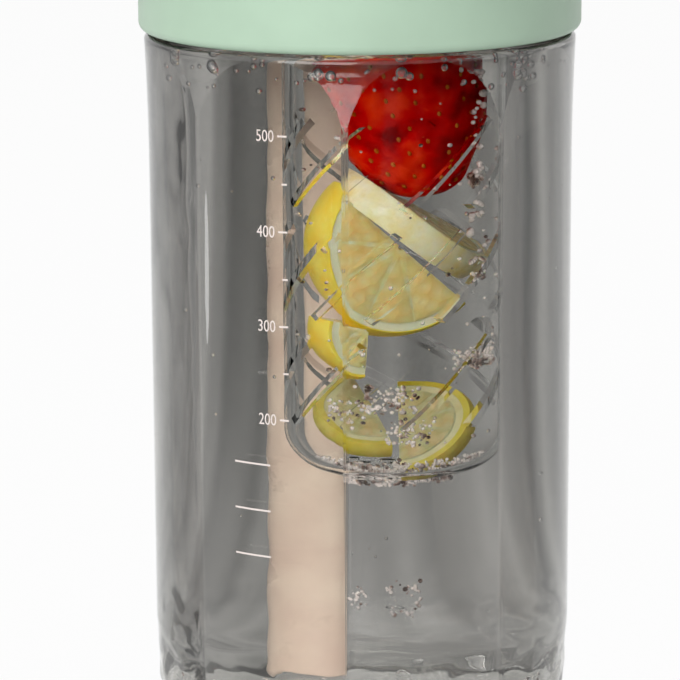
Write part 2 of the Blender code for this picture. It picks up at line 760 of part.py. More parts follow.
def mouthpiece_ring():
    """The hard ring that holds the mouthpiece's flange down."""
    low = LID_TOP + GAP
    profile = [
        (SPOUT_R + GAP, low + RING_T),
        *arc(RING_R - RING_T / 2, low + RING_T / 2, RING_T / 2, 90, 0, 3),
        (RING_R, low),
        (SPOUT_R + GAP, low),
    ]
    holder = turned("mouthpiece_ring", profile, SMALL, (0.0, STRAW_Y), closed=True)
    return as_piece(holder, "mint", lid_frame, (0.0, STRAW_Y, 0.0))


def vent_valve():
    profile = [
        (0.0, SHELL_UNDER + VENT_CAP_T),
        *arc(VENT_CAP_R - VENT_CAP_T / 2, SHELL_UNDER + VENT_CAP_T / 2, VENT_CAP_T / 2, 90, 0, 3),
        (VENT_CAP_R, SHELL_UNDER),
        (VENT_STEM_R, SHELL_UNDER),
        (VENT_STEM_R, SHELL_UNDER - VENT_STEM_L),
        (0.0, SHELL_UNDER - VENT_STEM_L),
    ]
    valve = turned("vent_valve", profile, SMALL, (VENT_X, VENT_Y))
    return as_piece(valve, "silicone", lid_frame)


def flip_cover():
    """The cap over the mouthpiece: a rounded shell with a knuckle behind it."""
    axis = (0.0, HINGE_Y, HINGE_Z)
    cover = box(
        "flip_cover",
        (-COVER_HALF_W, COVER_HALF_W),
        (COVER_BACK_Y, COVER_FRONT_Y),
        (COVER_Z, COVER_TOP),
        COVER_CORNER_R,
        COVER_TOP_ROUND,
        6,
        (COVER_LEAN, COVER_LEAN, COVER_LEAN),
    )
    as_piece(cover, "mint", lid_frame, axis)
    below = COVER_WALL - COVER_LEAN * OVERCUT
    hollow = box(
        "cover_hollow",
        (below - COVER_HALF_W, COVER_HALF_W - below),
        (COVER_BACK_Y + below, COVER_FRONT_Y - below),
        (COVER_Z - OVERCUT, COVER_TOP - COVER_WALL),
        COVER_CORNER_R - COVER_WALL,
        COVER_TOP_ROUND - COVER_WALL,
        6,
        (COVER_LEAN, COVER_LEAN, COVER_LEAN),
    )
    knuckle = cross_rod(
        "cover_knuckle", KNUCKLE_R, -KNUCKLE_HALF_W, KNUCKLE_HALF_W, HINGE_Y, HINGE_Z
    )
    web = box(
        "cover_web",
        (-KNUCKLE_HALF_W, KNUCKLE_HALF_W),
        (HINGE_Y, COVER_BACK_Y + COVER_WALL),
        (HINGE_Z - WEB_HALF_T, HINGE_Z + WEB_HALF_T),
    )
    bore = cross_rod(
        "knuckle_bore",
        HINGE_PIN_R + RUN,
        -KNUCKLE_HALF_W - OVERCUT,
        KNUCKLE_HALF_W + OVERCUT,
        HINGE_Y,
        HINGE_Z,
    )
    cut(cover, as_cutter(hollow, lid_frame))
    join(cover, as_cutter(knuckle, lid_frame))
    join(cover, as_cutter(web, lid_frame))
    return cut(cover, as_cutter(bore, lid_frame))


def cover_plug():
    """The soft plug under the cover, which closes the mouthpiece."""
    profile = [
        (0.0, PLUG_TOP),
        (PLUG_R, PLUG_TOP),
        (PLUG_R, PLUG_TOP - PLUG_T),
        (PEG_R, PLUG_TOP - PLUG_T),
        (PEG_R, PLUG_TOP - PLUG_T - PEG_L),
        (0.0, PLUG_TOP - PLUG_T - PEG_L),
    ]
    plug = turned("cover_plug", profile, SMALL, (0.0, STRAW_Y))
    return as_piece(plug, "silicone", lid_frame, (0.0, HINGE_Y, HINGE_Z))


def cover_hinge_pin():
    reach = LUG_IN + LUG_W - PIN_SHY
    pin = cross_rod("cover_hinge_pin", HINGE_PIN_R, -reach, reach, HINGE_Y, HINGE_Z)
    return as_piece(pin, "steel", lid_frame, (0.0, HINGE_Y, HINGE_Z))


def latch_button():
    """The sprung button in its housing, with the arm that reaches the cover's front."""
    y = (WELL_Y[0] + GAP, WELL_Y[1] - GAP)
    half = WELL_HALF_W - GAP
    button = box("latch_button", (-half, half), y, (BUTTON_Z, BUTTON_TOP), 0.0, BUTTON_ROUND)
    as_piece(button, "white", lid_frame, (0.0, sum(y) / 2, BUTTON_Z))
    arm = box(
        "latch_arm",
        (-ARM_HALF_W, ARM_HALF_W),
        (SWING_Y + RUN, (y[0] + y[1]) / 2),
        (BUTTON_Z, BUTTON_Z + ARM_T),
    )
    return join(button, as_cutter(arm, lid_frame))


def latch_spring():
    per_turn = 8
    middle_y = sum(WELL_Y) / 2
    rise = SPRING_L - 2 * SPRING_WIRE_R
    count = SPRING_TURNS * per_turn
    points = [
        (
            SPRING_R * math.cos(2 * math.pi * i / per_turn),
            middle_y + SPRING_R * math.sin(2 * math.pi * i / per_turn),
            SPRING_Z + SPRING_WIRE_R + rise * i / count,
        )
        for i in range(count + 1)
    ]
    coil = bar("latch_spring", points, SPRING_WIRE_R, 1)
    return as_piece(coil, "steel", lid_frame)


def carry_handle():
    """The swinging loop: a half-round bar between two eyes, folded back on the lid."""
    steps = 18
    points = [
        (
            HANDLE_R * math.cos(math.pi * i / steps),
            -HANDLE_R * math.sin(math.pi * i / steps),
            HANDLE_Z,
        )
        for i in range(steps + 1)
    ]
    handle = bar("carry_handle", points, HANDLE_BAR_R, 2)
    as_piece(handle, "mint", lid_frame, (0.0, 0.0, HANDLE_Z))
    for i, (low, high) in enumerate(((EYE_IN, EYE_OUT), (-EYE_OUT, -EYE_IN))):
        eye = cross_rod(f"handle_eye_{i}", HANDLE_BAR_R, low, high, 0.0, HANDLE_Z)
        join(handle, as_cutter(eye, lid_frame))
    bore = cross_rod(
        "eye_bore", HANDLE_PIN_R + RUN, -EYE_OUT - OVERCUT, EYE_OUT + OVERCUT, 0.0, HANDLE_Z
    )
    return cut(handle, as_cutter(bore, lid_frame))


def handle_pins():
    low = EYE_IN - GAP - HANDLE_BOSS_W + PIN_SHY
    high = EYE_OUT - PIN_SHY
    for name, span in (("handle_pin_right", (low, high)), ("handle_pin_left", (-high, -low))):
        pin = cross_rod(name, HANDLE_PIN_R, *span, 0.0, HANDLE_Z)
        as_piece(pin, "steel", lid_frame, (0.0, 0.0, HANDLE_Z))


def build():
    global parts, cutters, lid_frame
    clear_scene()
    parts = new_collection("tea_infuser_bottle")
    cutters = new_collection("cutters")
    lid_frame = bpy.data.objects.new("lid_frame", None)
    lid_frame.rotation_euler.z = LID_ANGLE
    parts.objects.link(lid_frame)
    for make in (
        bottle_body,
        lid_shell,
        lid_liner,
        lid_gasket,
        infuser_basket,
        infuser_collar,
        infuser_seal,
        straw,
        straw_grommet,
        mouthpiece,
        mouthpiece_ring,
        vent_valve,
        flip_cover,
        cover_plug,
        cover_hinge_pin,
        latch_button,
        latch_spring,
        carry_handle,
        handle_pins,
    ):
        make()


build()
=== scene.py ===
import random
from math import asin, copysign, cos, pi, radians, sin, sqrt, tau

import bmesh
import bpy
from mathutils import Matrix, Vector, noise

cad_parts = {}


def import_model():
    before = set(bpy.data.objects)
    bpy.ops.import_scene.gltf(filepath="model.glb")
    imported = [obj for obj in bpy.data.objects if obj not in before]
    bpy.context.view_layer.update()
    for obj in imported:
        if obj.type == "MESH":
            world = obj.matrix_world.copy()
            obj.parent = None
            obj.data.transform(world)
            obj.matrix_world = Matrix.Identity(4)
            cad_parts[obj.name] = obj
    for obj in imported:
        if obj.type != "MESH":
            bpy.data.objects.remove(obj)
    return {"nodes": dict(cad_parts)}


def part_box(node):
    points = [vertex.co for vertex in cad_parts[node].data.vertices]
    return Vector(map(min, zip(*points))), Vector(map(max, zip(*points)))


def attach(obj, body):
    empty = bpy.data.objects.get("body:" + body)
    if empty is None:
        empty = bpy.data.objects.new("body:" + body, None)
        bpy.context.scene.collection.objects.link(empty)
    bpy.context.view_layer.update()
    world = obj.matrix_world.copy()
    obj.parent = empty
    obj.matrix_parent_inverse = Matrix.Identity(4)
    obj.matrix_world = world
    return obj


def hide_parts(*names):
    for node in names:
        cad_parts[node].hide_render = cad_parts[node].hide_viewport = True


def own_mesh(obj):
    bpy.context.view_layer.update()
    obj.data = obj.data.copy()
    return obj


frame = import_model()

scene = bpy.context.scene
MM = 0.001
GAP = 0.3 * MM
OVERCUT = 1.0 * MM

# Bottle, as in the frame
BODY_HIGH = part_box("bottle_body")[1]
RIM_Z = BODY_HIGH.z
BODY_TOP_R = BODY_HIGH.x
NECK_H = 22.3 * MM
NECK_R = 38.6 * MM
NECK_BORE_R = 36.2 * MM
BODY_R = 43.0 * MM
BODY_H = RIM_Z - NECK_H  # the ledge
BODY_WALL = 2.0 * MM
FLARE_H = 26.0 * MM
BASE_CORNER_R = 11.0 * MM
BASE_T = 7.8 * MM
BASE_RIPPLE = 0.8 * MM  # depth of the moulding waves round its foot
RIPPLE_LOW, RIPPLE_TOP = 0.5 * MM, 22.0 * MM
RIPPLE_SIZE = 3.4 * MM
LEDGE_ROUND = 1.2 * MM
CAVITY_CORNER_R = BODY_R - BODY_WALL
CAVITY_SIDES = 8
CAVITY_TURN = radians(-4.5)
CAVITY_CORNER_SOFT = 0.5 * MM
FLOOR_FILLET = 6.0 * MM
ARCH_H = 24.0 * MM
THREAD_LOW = BODY_H + 4.5 * MM
THREAD_CREST = 0.5 * MM
THREAD_PITCH = 5.0 * MM
THREAD_TURNS = 2.2

# Water
WATER_TOP = BODY_H + 3.4 * MM
WATER_BITE = 0.06 * MM  # how far the water reaches into the wall, so that no film of air shows

# Scale printed on the wall: plain numbers left of short ticks, and longer lines below
SCALE_ANGLE = radians(-109.5)  # where the ticks end on the right
SCALE_TOP_Z = 128.1 * MM
SCALE_STEP = 9.34 * MM
SCALE_MARKS = 10
SCALE_NUMBERED = 7  # marks from the top; those of 100 ml among them have a number
SCALE_TEXT_H = 2.3 * MM
SCALE_TEXT_SQUEEZE = 0.8
SCALE_TICK_L = 1.9 * MM
SCALE_LINE = (4.1 * MM, 12.2 * MM)  # ends of a longer line, left of SCALE_ANGLE
SCALE_LINE_H = 0.36 * MM
PRINT_PROUD = 0.05 * MM
PRINT_T = 0.04 * MM

# Lid
LID_ANGLE = radians(25)
LID_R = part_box("lid_shell")[1].x
LID_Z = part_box("lid_shell")[0].z
SHELL_WALL = 2.1 * MM
SHELL_BORE_R = LID_R - SHELL_WALL
SHELL_TOP_T = 1.7 * MM
SHELL_ROUND = 6.0 * MM
SHELL_EDGE_ROUND = 1.9 * MM
LID_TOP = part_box("mouthpiece_ring")[0].z - GAP
SHELL_UNDER = LID_TOP - SHELL_TOP_T
SHELL_MIDDLE = LID_TOP - SHELL_TOP_T / 2

# Infuser
BASKET_LOW, BASKET_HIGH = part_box("infuser_basket")
INFUSER = Vector(((BASKET_LOW.x + BASKET_HIGH.x) / 2, (BASKET_LOW.y + BASKET_HIGH.y) / 2, 0))
INFUSER_R = 18.7 * MM
INFUSER_WALL = 1.5 * MM
INFUSER_Z = BASKET_LOW.z
INFUSER_TOP = BASKET_HIGH.z
INFUSER_BORE_R = INFUSER_R - INFUSER_WALL
INFUSER_CORNER_R = 9.0 * MM
LIP_R = 20.7 * MM
LIP_T = 1.5 * MM
SLOT_ROWS = 3
SLOTS_AROUND = 9
SLOT_W = 1.5 * MM
SLOT_L = 24.0 * MM
SLOT_TILT = radians(46)
SLOT_ROW_PITCH = 22.0 * MM
SLOT_FIRST = 20.0 * MM
HOLE_R = 1.1 * MM
HOLE_RINGS = ((0.0, 1), (3.8 * MM, 5), (7.6 * MM, 10))

# Straw and mouthpiece
STRAW_LOW, STRAW_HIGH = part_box("straw")
STRAW = Vector(((STRAW_LOW.x + STRAW_HIGH.x) / 2, (STRAW_LOW.y + STRAW_HIGH.y) / 2, 0))
STRAW_R = (STRAW_HIGH.x - STRAW_LOW.x) / 2
STRAW_BORE_R = STRAW_R - 1.2 * MM
STRAW_Y = STRAW.xy.length
SPOUT_R = 6.0 * MM
SPOUT_WAIST_R = 4.9 * MM
SPOUT_BORE_R = 2.4 * MM
SPOUT_MOUTH_R = 3.0 * MM
SPOUT_FLANGE_R = 8.4 * MM
SPOUT_FLANGE_T = 1.6 * MM
SPOUT_FOOT_H = 1.4 * MM
SPOUT_WAIST_H = 5.7 * MM
SPOUT_STUB_L = 10.0 * MM
SPOUT_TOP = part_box("mouthpiece")[1].z
RING_R = SPOUT_FLANGE_R + 2.0 * MM
RING_T = 1.4 * MM
VENT = Vector((10.5 * MM, STRAW_Y - 9.0 * MM))
VENT_CAP_R = 2.8 * MM

# Cover, its hinge, the latch and the handle, in the lid's own frame
HINGE_Y = -8.0 * MM
HINGE_Z = LID_TOP + 5.5 * MM
PIN_BORE_R = 1.3 * MM
KNUCKLE_R = 3.4 * MM
KNUCKLE_HALF_W = 7.3 * MM
LUG_IN = KNUCKLE_HALF_W + GAP
LUG_W = 2.8 * MM
COVER_HALF_W = 15.5 * MM
COVER_BACK_Y = -3.5 * MM
COVER_Z = LID_TOP + GAP
COVER_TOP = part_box("flip_cover")[1].z
COVER_WALL = 1.8 * MM
COVER_CORNER_R = 11.0 * MM
COVER_TOP_ROUND = 4.5 * MM
COVER_LEAN = 0.1  # how far its sides lean in, for each unit of height
WEB_HALF_T = 1.7 * MM
HOUSING_FRONT_Y = LID_R - 5.4 * MM
HOUSING_BACK_Y = HOUSING_FRONT_Y - 7.5 * MM
HOUSING_HALF_W = 8.5 * MM
HOUSING_TOP = LID_TOP + 11.0 * MM
HOUSING_WALL = 1.5 * MM
HOUSING_ROUND = 1.6 * MM
HOUSING_LEAN = 0.14
COVER_FRONT_Y = HINGE_Y + sqrt((HOUSING_BACK_Y - GAP - HINGE_Y) ** 2 - (HINGE_Z - COVER_Z) ** 2)
ARM_Z = (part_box("latch_button")[0].z - 1.7 * MM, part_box("latch_button")[0].z + 1.8 * MM)
ARM_HALF_W = 2.3 * MM
SPRING_WIRE_R = 0.3 * MM
SPRING_TURNS = 4
SPRING_FLAT = 0.4  # turns at each end that don't rise
RIB_PITCH = 1.15 * MM
RIB_HALF_L = 4.6 * MM
RIB_W = 0.6 * MM
RIB_H = 0.3 * MM
HANDLE_R = 33.4 * MM
HANDLE_BAR_R = 2.6 * MM
HANDLE_Z = LID_TOP + GAP + HANDLE_BAR_R
EYE_IN = HANDLE_R - HANDLE_BAR_R - GAP
EYE_OUT = HANDLE_R + HANDLE_BAR_R + GAP
HANDLE_BOSS_W = 3.7 * MM

# Camera, from the photograph's frame
CAMERA_DISTANCE = 700 * MM
CAMERA_PITCH = radians(12.5)
CAMERA_AIM_Z = 79.2 * MM
CAMERA_SIDE = -4.33 * MM
CAMERA_ROLL = radians(-0.3)
CAMERA_LENS = 179.7

WORLD_LIGHT = 0.2
SEEN_THROUGH = (0.13, 0.62)  # painted shade: how bright the background is painted through clear plastic, darker than where it is seen directly; the photo's was a darker room
# size of the soft bands of that painted shade round the object
PAINTED_SHADE_BANDS = 5.0
FLOOR_GLOW = 0.955
# painted dark reflection: how much the floor's front part is dimmed in gloss
PAINTED_REFLECTION_DIM = 0.8
PAINTED_REFLECTION_Y = (-300 * MM, -50 * MM)  # where the floor's painted dark reflection, seen in gloss only, is full, and where it has faded out
WET_IOR = 1.13  # of fruit against the water round it

ROUND = 160
FINE = 192
LUG_EASE = 0.35 * MM
THREAD_ROOT = 0.5  # how far a thread's ridge is sunk in its wall, as a share of its height

# What is in the infuser
BERRY_TIP, BERRY_TOP = 113.0 * MM, 147.0 * MM
BERRY_R = 15.3 * MM
BERRY_PLACE = INFUSER + Vector((5.2 * MM, -1.0 * MM, BERRY_TIP))
BERRY_LEAN = radians(-10)
BERRY_SHOULDER = 0.8  # where its widest stretch ends, as a share of its length
BERRY_DEPTH = 0.92  # front to back, as a share of its width
BERRY_SEEDS = 120
BERRY_SEED_SUNK = 0.35 * MM
BERRY_PIT_R = 1.4 * MM
BERRY_PIT_DEEP = 0.6 * MM
CITRUS_PEEL = 1.5 * MM
CITRUS_PITH = 1.3 * MM
CITRUS_SKIN = 0.16 * MM

# Patches of bubbles: angles in degrees, heights and radii in mm, and how many
INFUSER_PATCHES = (
    (200, 340, 55.5, 61.5, 800, (0.15, 0.42)),
    (307, 345, 79.0, 84.0, 90, (0.2, 0.5)),
    (254, 286, 71.5, 77.0, 90, (0.2, 0.5)),
    (224, 254, 69.4, 74.0, 60, (0.18, 0.45)),
    (265, 294, 65.0, 70.0, 60, (0.18, 0.45)),
    (322, 335, 96.0, 142.0, 60, (0.3, 0.85)),
    (190, 350, 62.0, 140.0, 90, (0.2, 0.5)),
)
WALL_PATCHES = (
    (0, 360, 14.0, 132.0, 70, (0.2, 0.5)),
    (205, 206, 140.0, 141.0, 2, (0.9, 1.3)),
    (223, 226, 139.0, 141.0, 3, (0.7, 1.4)),
    (250, 262, 138.5, 141.0, 4, (0.8, 1.4)),
    (281, 284, 139.0, 141.0, 2, (0.8, 1.3)),
    (318, 332, 134.0, 141.0, 12, (0.5, 1.1)),
    (200, 345, 136.0, 141.5, 40, (0.3, 0.7)),
    (215, 330, 9.0, 12.0, 30, (0.4, 0.9)),
)
LOW_PATCHES = (
    (266, 271, 34.0, 38.5, 18, (0.2, 0.5)),
    (276, 287, 31.5, 39.5, 34, (0.2, 0.55)),
    (205, 240, 8.5, 13.5, 45, (0.15, 0.4)),
    (300, 335, 8.5, 13.5, 60, (0.15, 0.4)),
    (240, 300, 8.5, 12.0, 40, (0.15, 0.35)),
)
FLOOR_BUBBLES = 60


def srgb(r, g, b):
    """A colour given as 0 to 255, in the linear values that a shader takes."""
    return tuple((c / 255 / 12.92) if c <= 10.3 else ((c / 255 + 0.055) / 1.055) ** 2.4 for c in (r, g, b))


def arc(centre_r, centre_z, radius, start, end, steps):
    """Points of a round stretch of a profile, angles in degrees from +R."""
    angles = (radians(start + (end - start) * i / steps) for i in range(steps + 1))
    return [(centre_r + radius * cos(a), centre_z + radius * sin(a)) for a in angles]


def in_lid(x, y, z=0.0):
    """A place in the lid's own frame, as a place in the object's frame."""
    return Matrix.Rotation(LID_ANGLE, 3, "Z") @ Vector((x, y, z))


def add_object(name, data):
    obj = bpy.data.objects.new(name, data)
    scene.collection.objects.link(obj)
    return obj


def add_mesh(name, bm, mat, smooth=True, sharp=30, outward=False):
    """Ends a bmesh as an object; outward turns all its faces outwards first."""
    if outward:
        bmesh.ops.recalc_face_normals(bm, faces=bm.faces)
    mesh = bpy.data.meshes.new(name)
    bm.to_mesh(mesh)
    bm.free()
    obj = add_object(name, mesh)
    if mat:
        mesh.materials.append(mat)
    if smooth:
        mesh.shade_smooth()
        mesh.set_sharp_from_angle(angle=radians(sharp))
    return obj


def polar(r, angle):
    return r * cos(angle), r * sin(angle)


def about(axis, degrees):
    return Matrix.Rotation(radians(degrees), 4, axis)


def add_face(bm, corners):
    """A face of these corners, each taken once, because the ring at a pole is one corner."""
    corners = list(dict.fromkeys(corners))
    if len(corners) > 2:
        bm.faces.new(corners)


def skin(bm, rings, ends=False):
    """Joins each ring of corners to the next, and closes the two ends."""
    for a, b in zip(rings, rings[1:]):
        for k in range(len(a)):
            n = (k + 1) % len(a)
            add_face(bm, (a[k], a[n], b[n], b[k]))
    if ends:
        bm.faces.new(rings[0])
        bm.faces.new(rings[-1])


def rise_of(edge):
    return abs(edge.verts[0].co.z - edge.verts[1].co.z)


def add_cylinder(bm, segments, radius, depth, matrix=Matrix()):
    bmesh.ops.create_cone(
        bm, cap_ends=True, segments=segments, radius1=radius, radius2=radius, depth=depth, matrix=matrix
    )


def bevel(bm, edges, width, segments=3, **more):
    bmesh.ops.bevel(bm, geom=edges, offset=width, segments=segments, profile=0.5, affect="EDGES", **more)


def turned(name, profile, mat, steps=ROUND, centre=(0.0, 0.0), closed=False):
    """A (radius, height) profile turned about a vertical axis; it runs down its outer side."""
    bm = bmesh.new()
    rings = []
    for r, z in profile:
        if r < 1e-7:
            rings.append([bm.verts.new((centre[0], centre[1], z))] * steps)
        else:
            angles = (tau * i / steps for i in range(steps))
            rings.append([bm.verts.new((centre[0] + r * cos(a), centre[1] + r * sin(a), z)) for a in angles])
    for upper, lower in zip(rings, rings[1:] + rings[:1] if closed else rings[1:]):
        for i in range(steps):
            k = (i + 1) % steps
            add_face(bm, (upper[i], lower[i], lower[k], upper[k]))
    return add_mesh(name, bm, mat)


def rod(name, radius, low, high, steps, centre):
    return turned(name, [(0.0, high), (radius, high), (radius, low), (0.0, low)], None, steps, centre)


def cross_rod(name, radius, x_low, x_high, y, z, ease=0.0):
    """A cylinder along the lid's X, with eased ends."""
    bm = bmesh.new()
    add_cylinder(bm, 48, radius, x_high - x_low)
    if ease:
        bevel(bm, [e for e in bm.edges if rise_of(e) < 1e-7], ease)
    bm.transform(Matrix.Translation(((x_low + x_high) / 2, y, z)) @ Matrix.Rotation(pi / 2, 4, "Y"))
    return add_mesh(name, bm, None)


def block(name, x, y, z, upright_round=0.0, top_round=0.0, segments=8, lean=(0.0, 0.0, 0.0), mat=None):
    """A box between two corners, with rounded upright edges and a rounded top.

    lean is how far the sides, the low end and the high end come in, for each unit of height.
    """
    bm = bmesh.new()
    bmesh.ops.create_cube(bm, size=1.0)
    size = Vector((x[1] - x[0], y[1] - y[0], z[1] - z[0]))
    middle = Vector((x[0] + x[1], y[0] + y[1], z[0] + z[1])) / 2
    bm.transform(Matrix.Translation(middle) @ Matrix.Diagonal((*size, 1.0)))
    for v in bm.verts:
        rise = v.co.z - z[0]
        v.co.x -= copysign(lean[0] * rise, v.co.x - middle.x)
        v.co.y += lean[1] * rise if v.co.y < middle.y else -lean[2] * rise
    if upright_round:
        bevel(bm, [e for e in bm.edges if rise_of(e) > size.z / 2], upright_round, segments)
    if top_round:
        top = [e for e in bm.edges if min(v.co.z for v in e.verts) > z[1] - size.z * 0.001]
        bevel(bm, top, top_round, segments)
    return add_mesh(name, bm, mat)


def lug(name, x, y, z, radius, low):
    """A lug that stands on the lid: round on top about an axis along the lid's X, with eased faces."""
    outline = [(radius, low), *arc(0.0, 0.0, radius, 0, 180, 24), (-radius, low)]
    bm = bmesh.new()
    sides = [[bm.verts.new((end, y + a, z + b)) for a, b in outline] for end in x]
    faces = [bm.faces.new(sides[0]), bm.faces.new(reversed(sides[1]))]
    for i in range(len(outline)):
        k = (i + 1) % len(outline)
        bm.faces.new((sides[0][k], sides[0][i], sides[1][i], sides[1][k]))
    rims = [e for f in faces for e in f.edges]
    bevel(bm, rims, LUG_EASE, clamp_overlap=True)
    return add_mesh(name, bm, None, outward=True)


def shown_mesh(obj):
    """A new mesh of what an object shows, with its modifiers applied or its text turned into faces."""
    bpy.context.view_layer.update()
    return bpy.data.meshes.new_from_object(obj.evaluated_get(bpy.context.evaluated_depsgraph_get()))


def boolean(obj, tool, operation, sharp=30):
    """Applies a Boolean and removes its tool."""
    mod = obj.modifiers.new("cut", "BOOLEAN")
    mod.operation = operation
    mod.solver = "EXACT"
    mod.object = tool
    made = shown_mesh(obj)
    obj.modifiers.clear()
    obj.data = made
    made.shade_smooth()
    made.set_sharp_from_angle(angle=radians(sharp))
    bpy.data.objects.remove(tool)
    return obj


def to_lid(obj):
    """Turns a mesh that was made in the lid's own frame into place."""
    obj.data.transform(Matrix.Rotation(LID_ANGLE, 4, "Z"))


def helix(name, base_r, crest_r, low, pitch, turns, half_base=1.1 * MM, half_crest=0.4 * MM):
    """A thread ridge that fades out at both ends."""
    steps = int(72 * turns)
    bm = bmesh.new()
    rings = []
    for i in range(steps + 1):
        angle = tau * turns * i / steps
        fade = min(1.0, i / 8, (steps - i) / 8)
        crest = base_r + (crest_r - base_r) * fade
        inner = base_r - (crest_r - base_r) * THREAD_ROOT
        z = low + pitch * angle / tau
        section = ((inner, -half_base), (crest, -half_crest), (crest, half_crest), (inner, half_base))
        rings.append([bm.verts.new((*polar(r, angle), z + h)) for r, h in section])
    skin(bm, rings, ends=True)
    return add_mesh(name, bm, None, outward=True)


def swept(name, points, radius, mat, sides=32):
    """A round bar along points."""
    bm = bmesh.new()
    rings = []
    side = None
    for i, point in enumerate(points):
        ahead = (points[min(i + 1, len(points) - 1)] - points[max(i - 1, 0)]).normalized()
        if side is None:
            side = ahead.orthogonal().normalized()
        side = (side - ahead * side.dot(ahead)).normalized()
        up = ahead.cross(side)
        angles = (tau * k / sides for k in range(sides))
        rings.append([bm.verts.new(point + (side * cos(a) + up * sin(a)) * radius) for a in angles])
    skin(bm, rings, ends=True)
    return add_mesh(name, bm, mat, outward=True)


def cavity(outset, top):
    """The bottle's inside: an octagonal prism whose flats end in arches under a dome."""
    corner_r = CAVITY_CORNER_R + outset
    arch_low = BODY_H - ARCH_H
    steps = 16
    spread = corner_r + GAP - NECK_BORE_R - outset
    turns = [pi / 2 * i / steps for i in range(steps + 1)]
    shoulder = [(NECK_BORE_R + outset + spread * sin(t), arch_low + ARCH_H * cos(t)) for t in turns]
    floor_z = BASE_T - outset
    fillet = arc(corner_r + GAP - FLOOR_FILLET, floor_z + FLOOR_FILLET, FLOOR_FILLET, 0, -90, 10)
    profile = [(0.0, top), (NECK_BORE_R + outset, top), *shoulder, *fillet, (0.0, floor_z)]
    dome = turned("cavity", profile, None)
    bm = bmesh.new()
    add_cylinder(bm, CAVITY_SIDES, corner_r, 2 * RIM_Z, Matrix.Rotation(CAVITY_TURN, 4, "Z"))
    bevel(bm, [e for e in bm.edges if rise_of(e) > RIM_Z], CAVITY_CORNER_SOFT)
    return boolean(dome, add_mesh("cavity_prism", bm, None), "INTERSECT", sharp=5)


def bottle_wall(mat):
    rows = 12  # in the flare, and again in the straight part of the waves
    profile = [
        (0.0, RIM_Z),
        *arc(NECK_R - LEDGE_ROUND, RIM_Z - LEDGE_ROUND, LEDGE_ROUND, 90, 0, 6),
        (NECK_R, BODY_H),
        *arc(BODY_TOP_R - LEDGE_ROUND, BODY_H - LEDGE_ROUND, LEDGE_ROUND, 90, 0, 8),
    ]
    for i in range(1, rows + 1):
        drop = i / rows
        profile.append((BODY_R + (BODY_TOP_R - BODY_R) * (1 - drop) ** 2, BODY_H - LEDGE_ROUND - FLARE_H * drop))
    rise = RIPPLE_TOP - BASE_CORNER_R
    profile += [(BODY_R, RIPPLE_TOP - rise * i / rows) for i in range(rows)]
    profile += arc(BODY_R - BASE_CORNER_R, BASE_CORNER_R, BASE_CORNER_R, 0, -90, 18)
    profile.append((0.0, 0.0))
    wall = turned("bottle_wall", profile, mat)
    boolean(wall, cavity(0.0, RIM_Z + OVERCUT), "DIFFERENCE", sharp=5)
    thread = helix("neck_thread", NECK_R, NECK_R + THREAD_CREST, THREAD_LOW, THREAD_PITCH, THREAD_TURNS)
    boolean(wall, thread, "UNION", sharp=20)
    for v in wall.data.vertices:
        height = v.co.z
        outer = BODY_R - (0.1 * MM if height > BASE_CORNER_R else BASE_CORNER_R)
        if RIPPLE_LOW < height < RIPPLE_TOP and v.co.xy.length > outer:
            wave = 0.5 + 0.5 * noise.noise(v.co / RIPPLE_SIZE)
            v.co.xy *= 1 - BASE_RIPPLE * wave * sin(pi * height / RIPPLE_TOP) / BODY_R
    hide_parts("bottle_body")
    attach(wall, "bottle")


def water(mat):
    body = cavity(WATER_BITE, WATER_TOP)
    body.name = "water"
    body.data.materials.append(mat)
    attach(body, "bottle")


def infuser(mat):
    corner_z = INFUSER_Z + INFUSER_CORNER_R
    inner_corner = INFUSER_CORNER_R - INFUSER_WALL
    profile = [
        (0.0, INFUSER_Z + INFUSER_WALL),
        *arc(INFUSER_BORE_R - inner_corner, corner_z, inner_corner, -90, 0, 12),
        (INFUSER_BORE_R, INFUSER_TOP),
        (LIP_R, INFUSER_TOP),
        (LIP_R, INFUSER_TOP - LIP_T),
        (INFUSER_R, INFUSER_TOP - LIP_T),
        *arc(INFUSER_R - INFUSER_CORNER_R, corner_z, INFUSER_CORNER_R, 0, -90, 12),
        (0.0, INFUSER_Z),
    ]
    basket = turned("infuser_tube", profile, mat, 120, INFUSER)
    boolean(basket, slots(), "DIFFERENCE")
    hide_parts("infuser_basket")
    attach(basket, "infuser")


def slots():
    """Cutters for the slots in the infuser's wall and the holes in its bottom."""
    bm = bmesh.new()
    half_run = SLOT_L / 2 * cos(SLOT_TILT)
    low = sqrt(INFUSER_BORE_R**2 - half_run**2) - OVERCUT
    high = INFUSER_R + OVERCUT
    for row in range(SLOT_ROWS):
        for i in range(SLOTS_AROUND):
            level = INFUSER_Z + SLOT_FIRST + row * SLOT_ROW_PITCH
            place = Matrix.Translation(INFUSER + Vector((0, 0, level)))
            turn = Matrix.Rotation(LID_ANGLE + tau * (i + row / 2) / SLOTS_AROUND, 4, "Z")
            out = Matrix.Translation(((low + high) / 2, 0.0, 0.0))
            tilt = Matrix.Rotation(SLOT_TILT, 4, "X")
            size = Matrix.Diagonal((high - low, SLOT_L, SLOT_W, 1.0))
            bmesh.ops.create_cube(bm, size=1.0, matrix=place @ turn @ out @ tilt @ size)
    for ring_r, count in HOLE_RINGS:
        for i in range(count):
            angle = LID_ANGLE + tau * i / count
            place = Matrix.Translation(INFUSER + Vector((*polar(ring_r, angle), INFUSER_Z)))
            add_cylinder(bm, 16, HOLE_R, 5 * MM, place)
    return add_mesh("slot_cutters", bm, None, smooth=False)


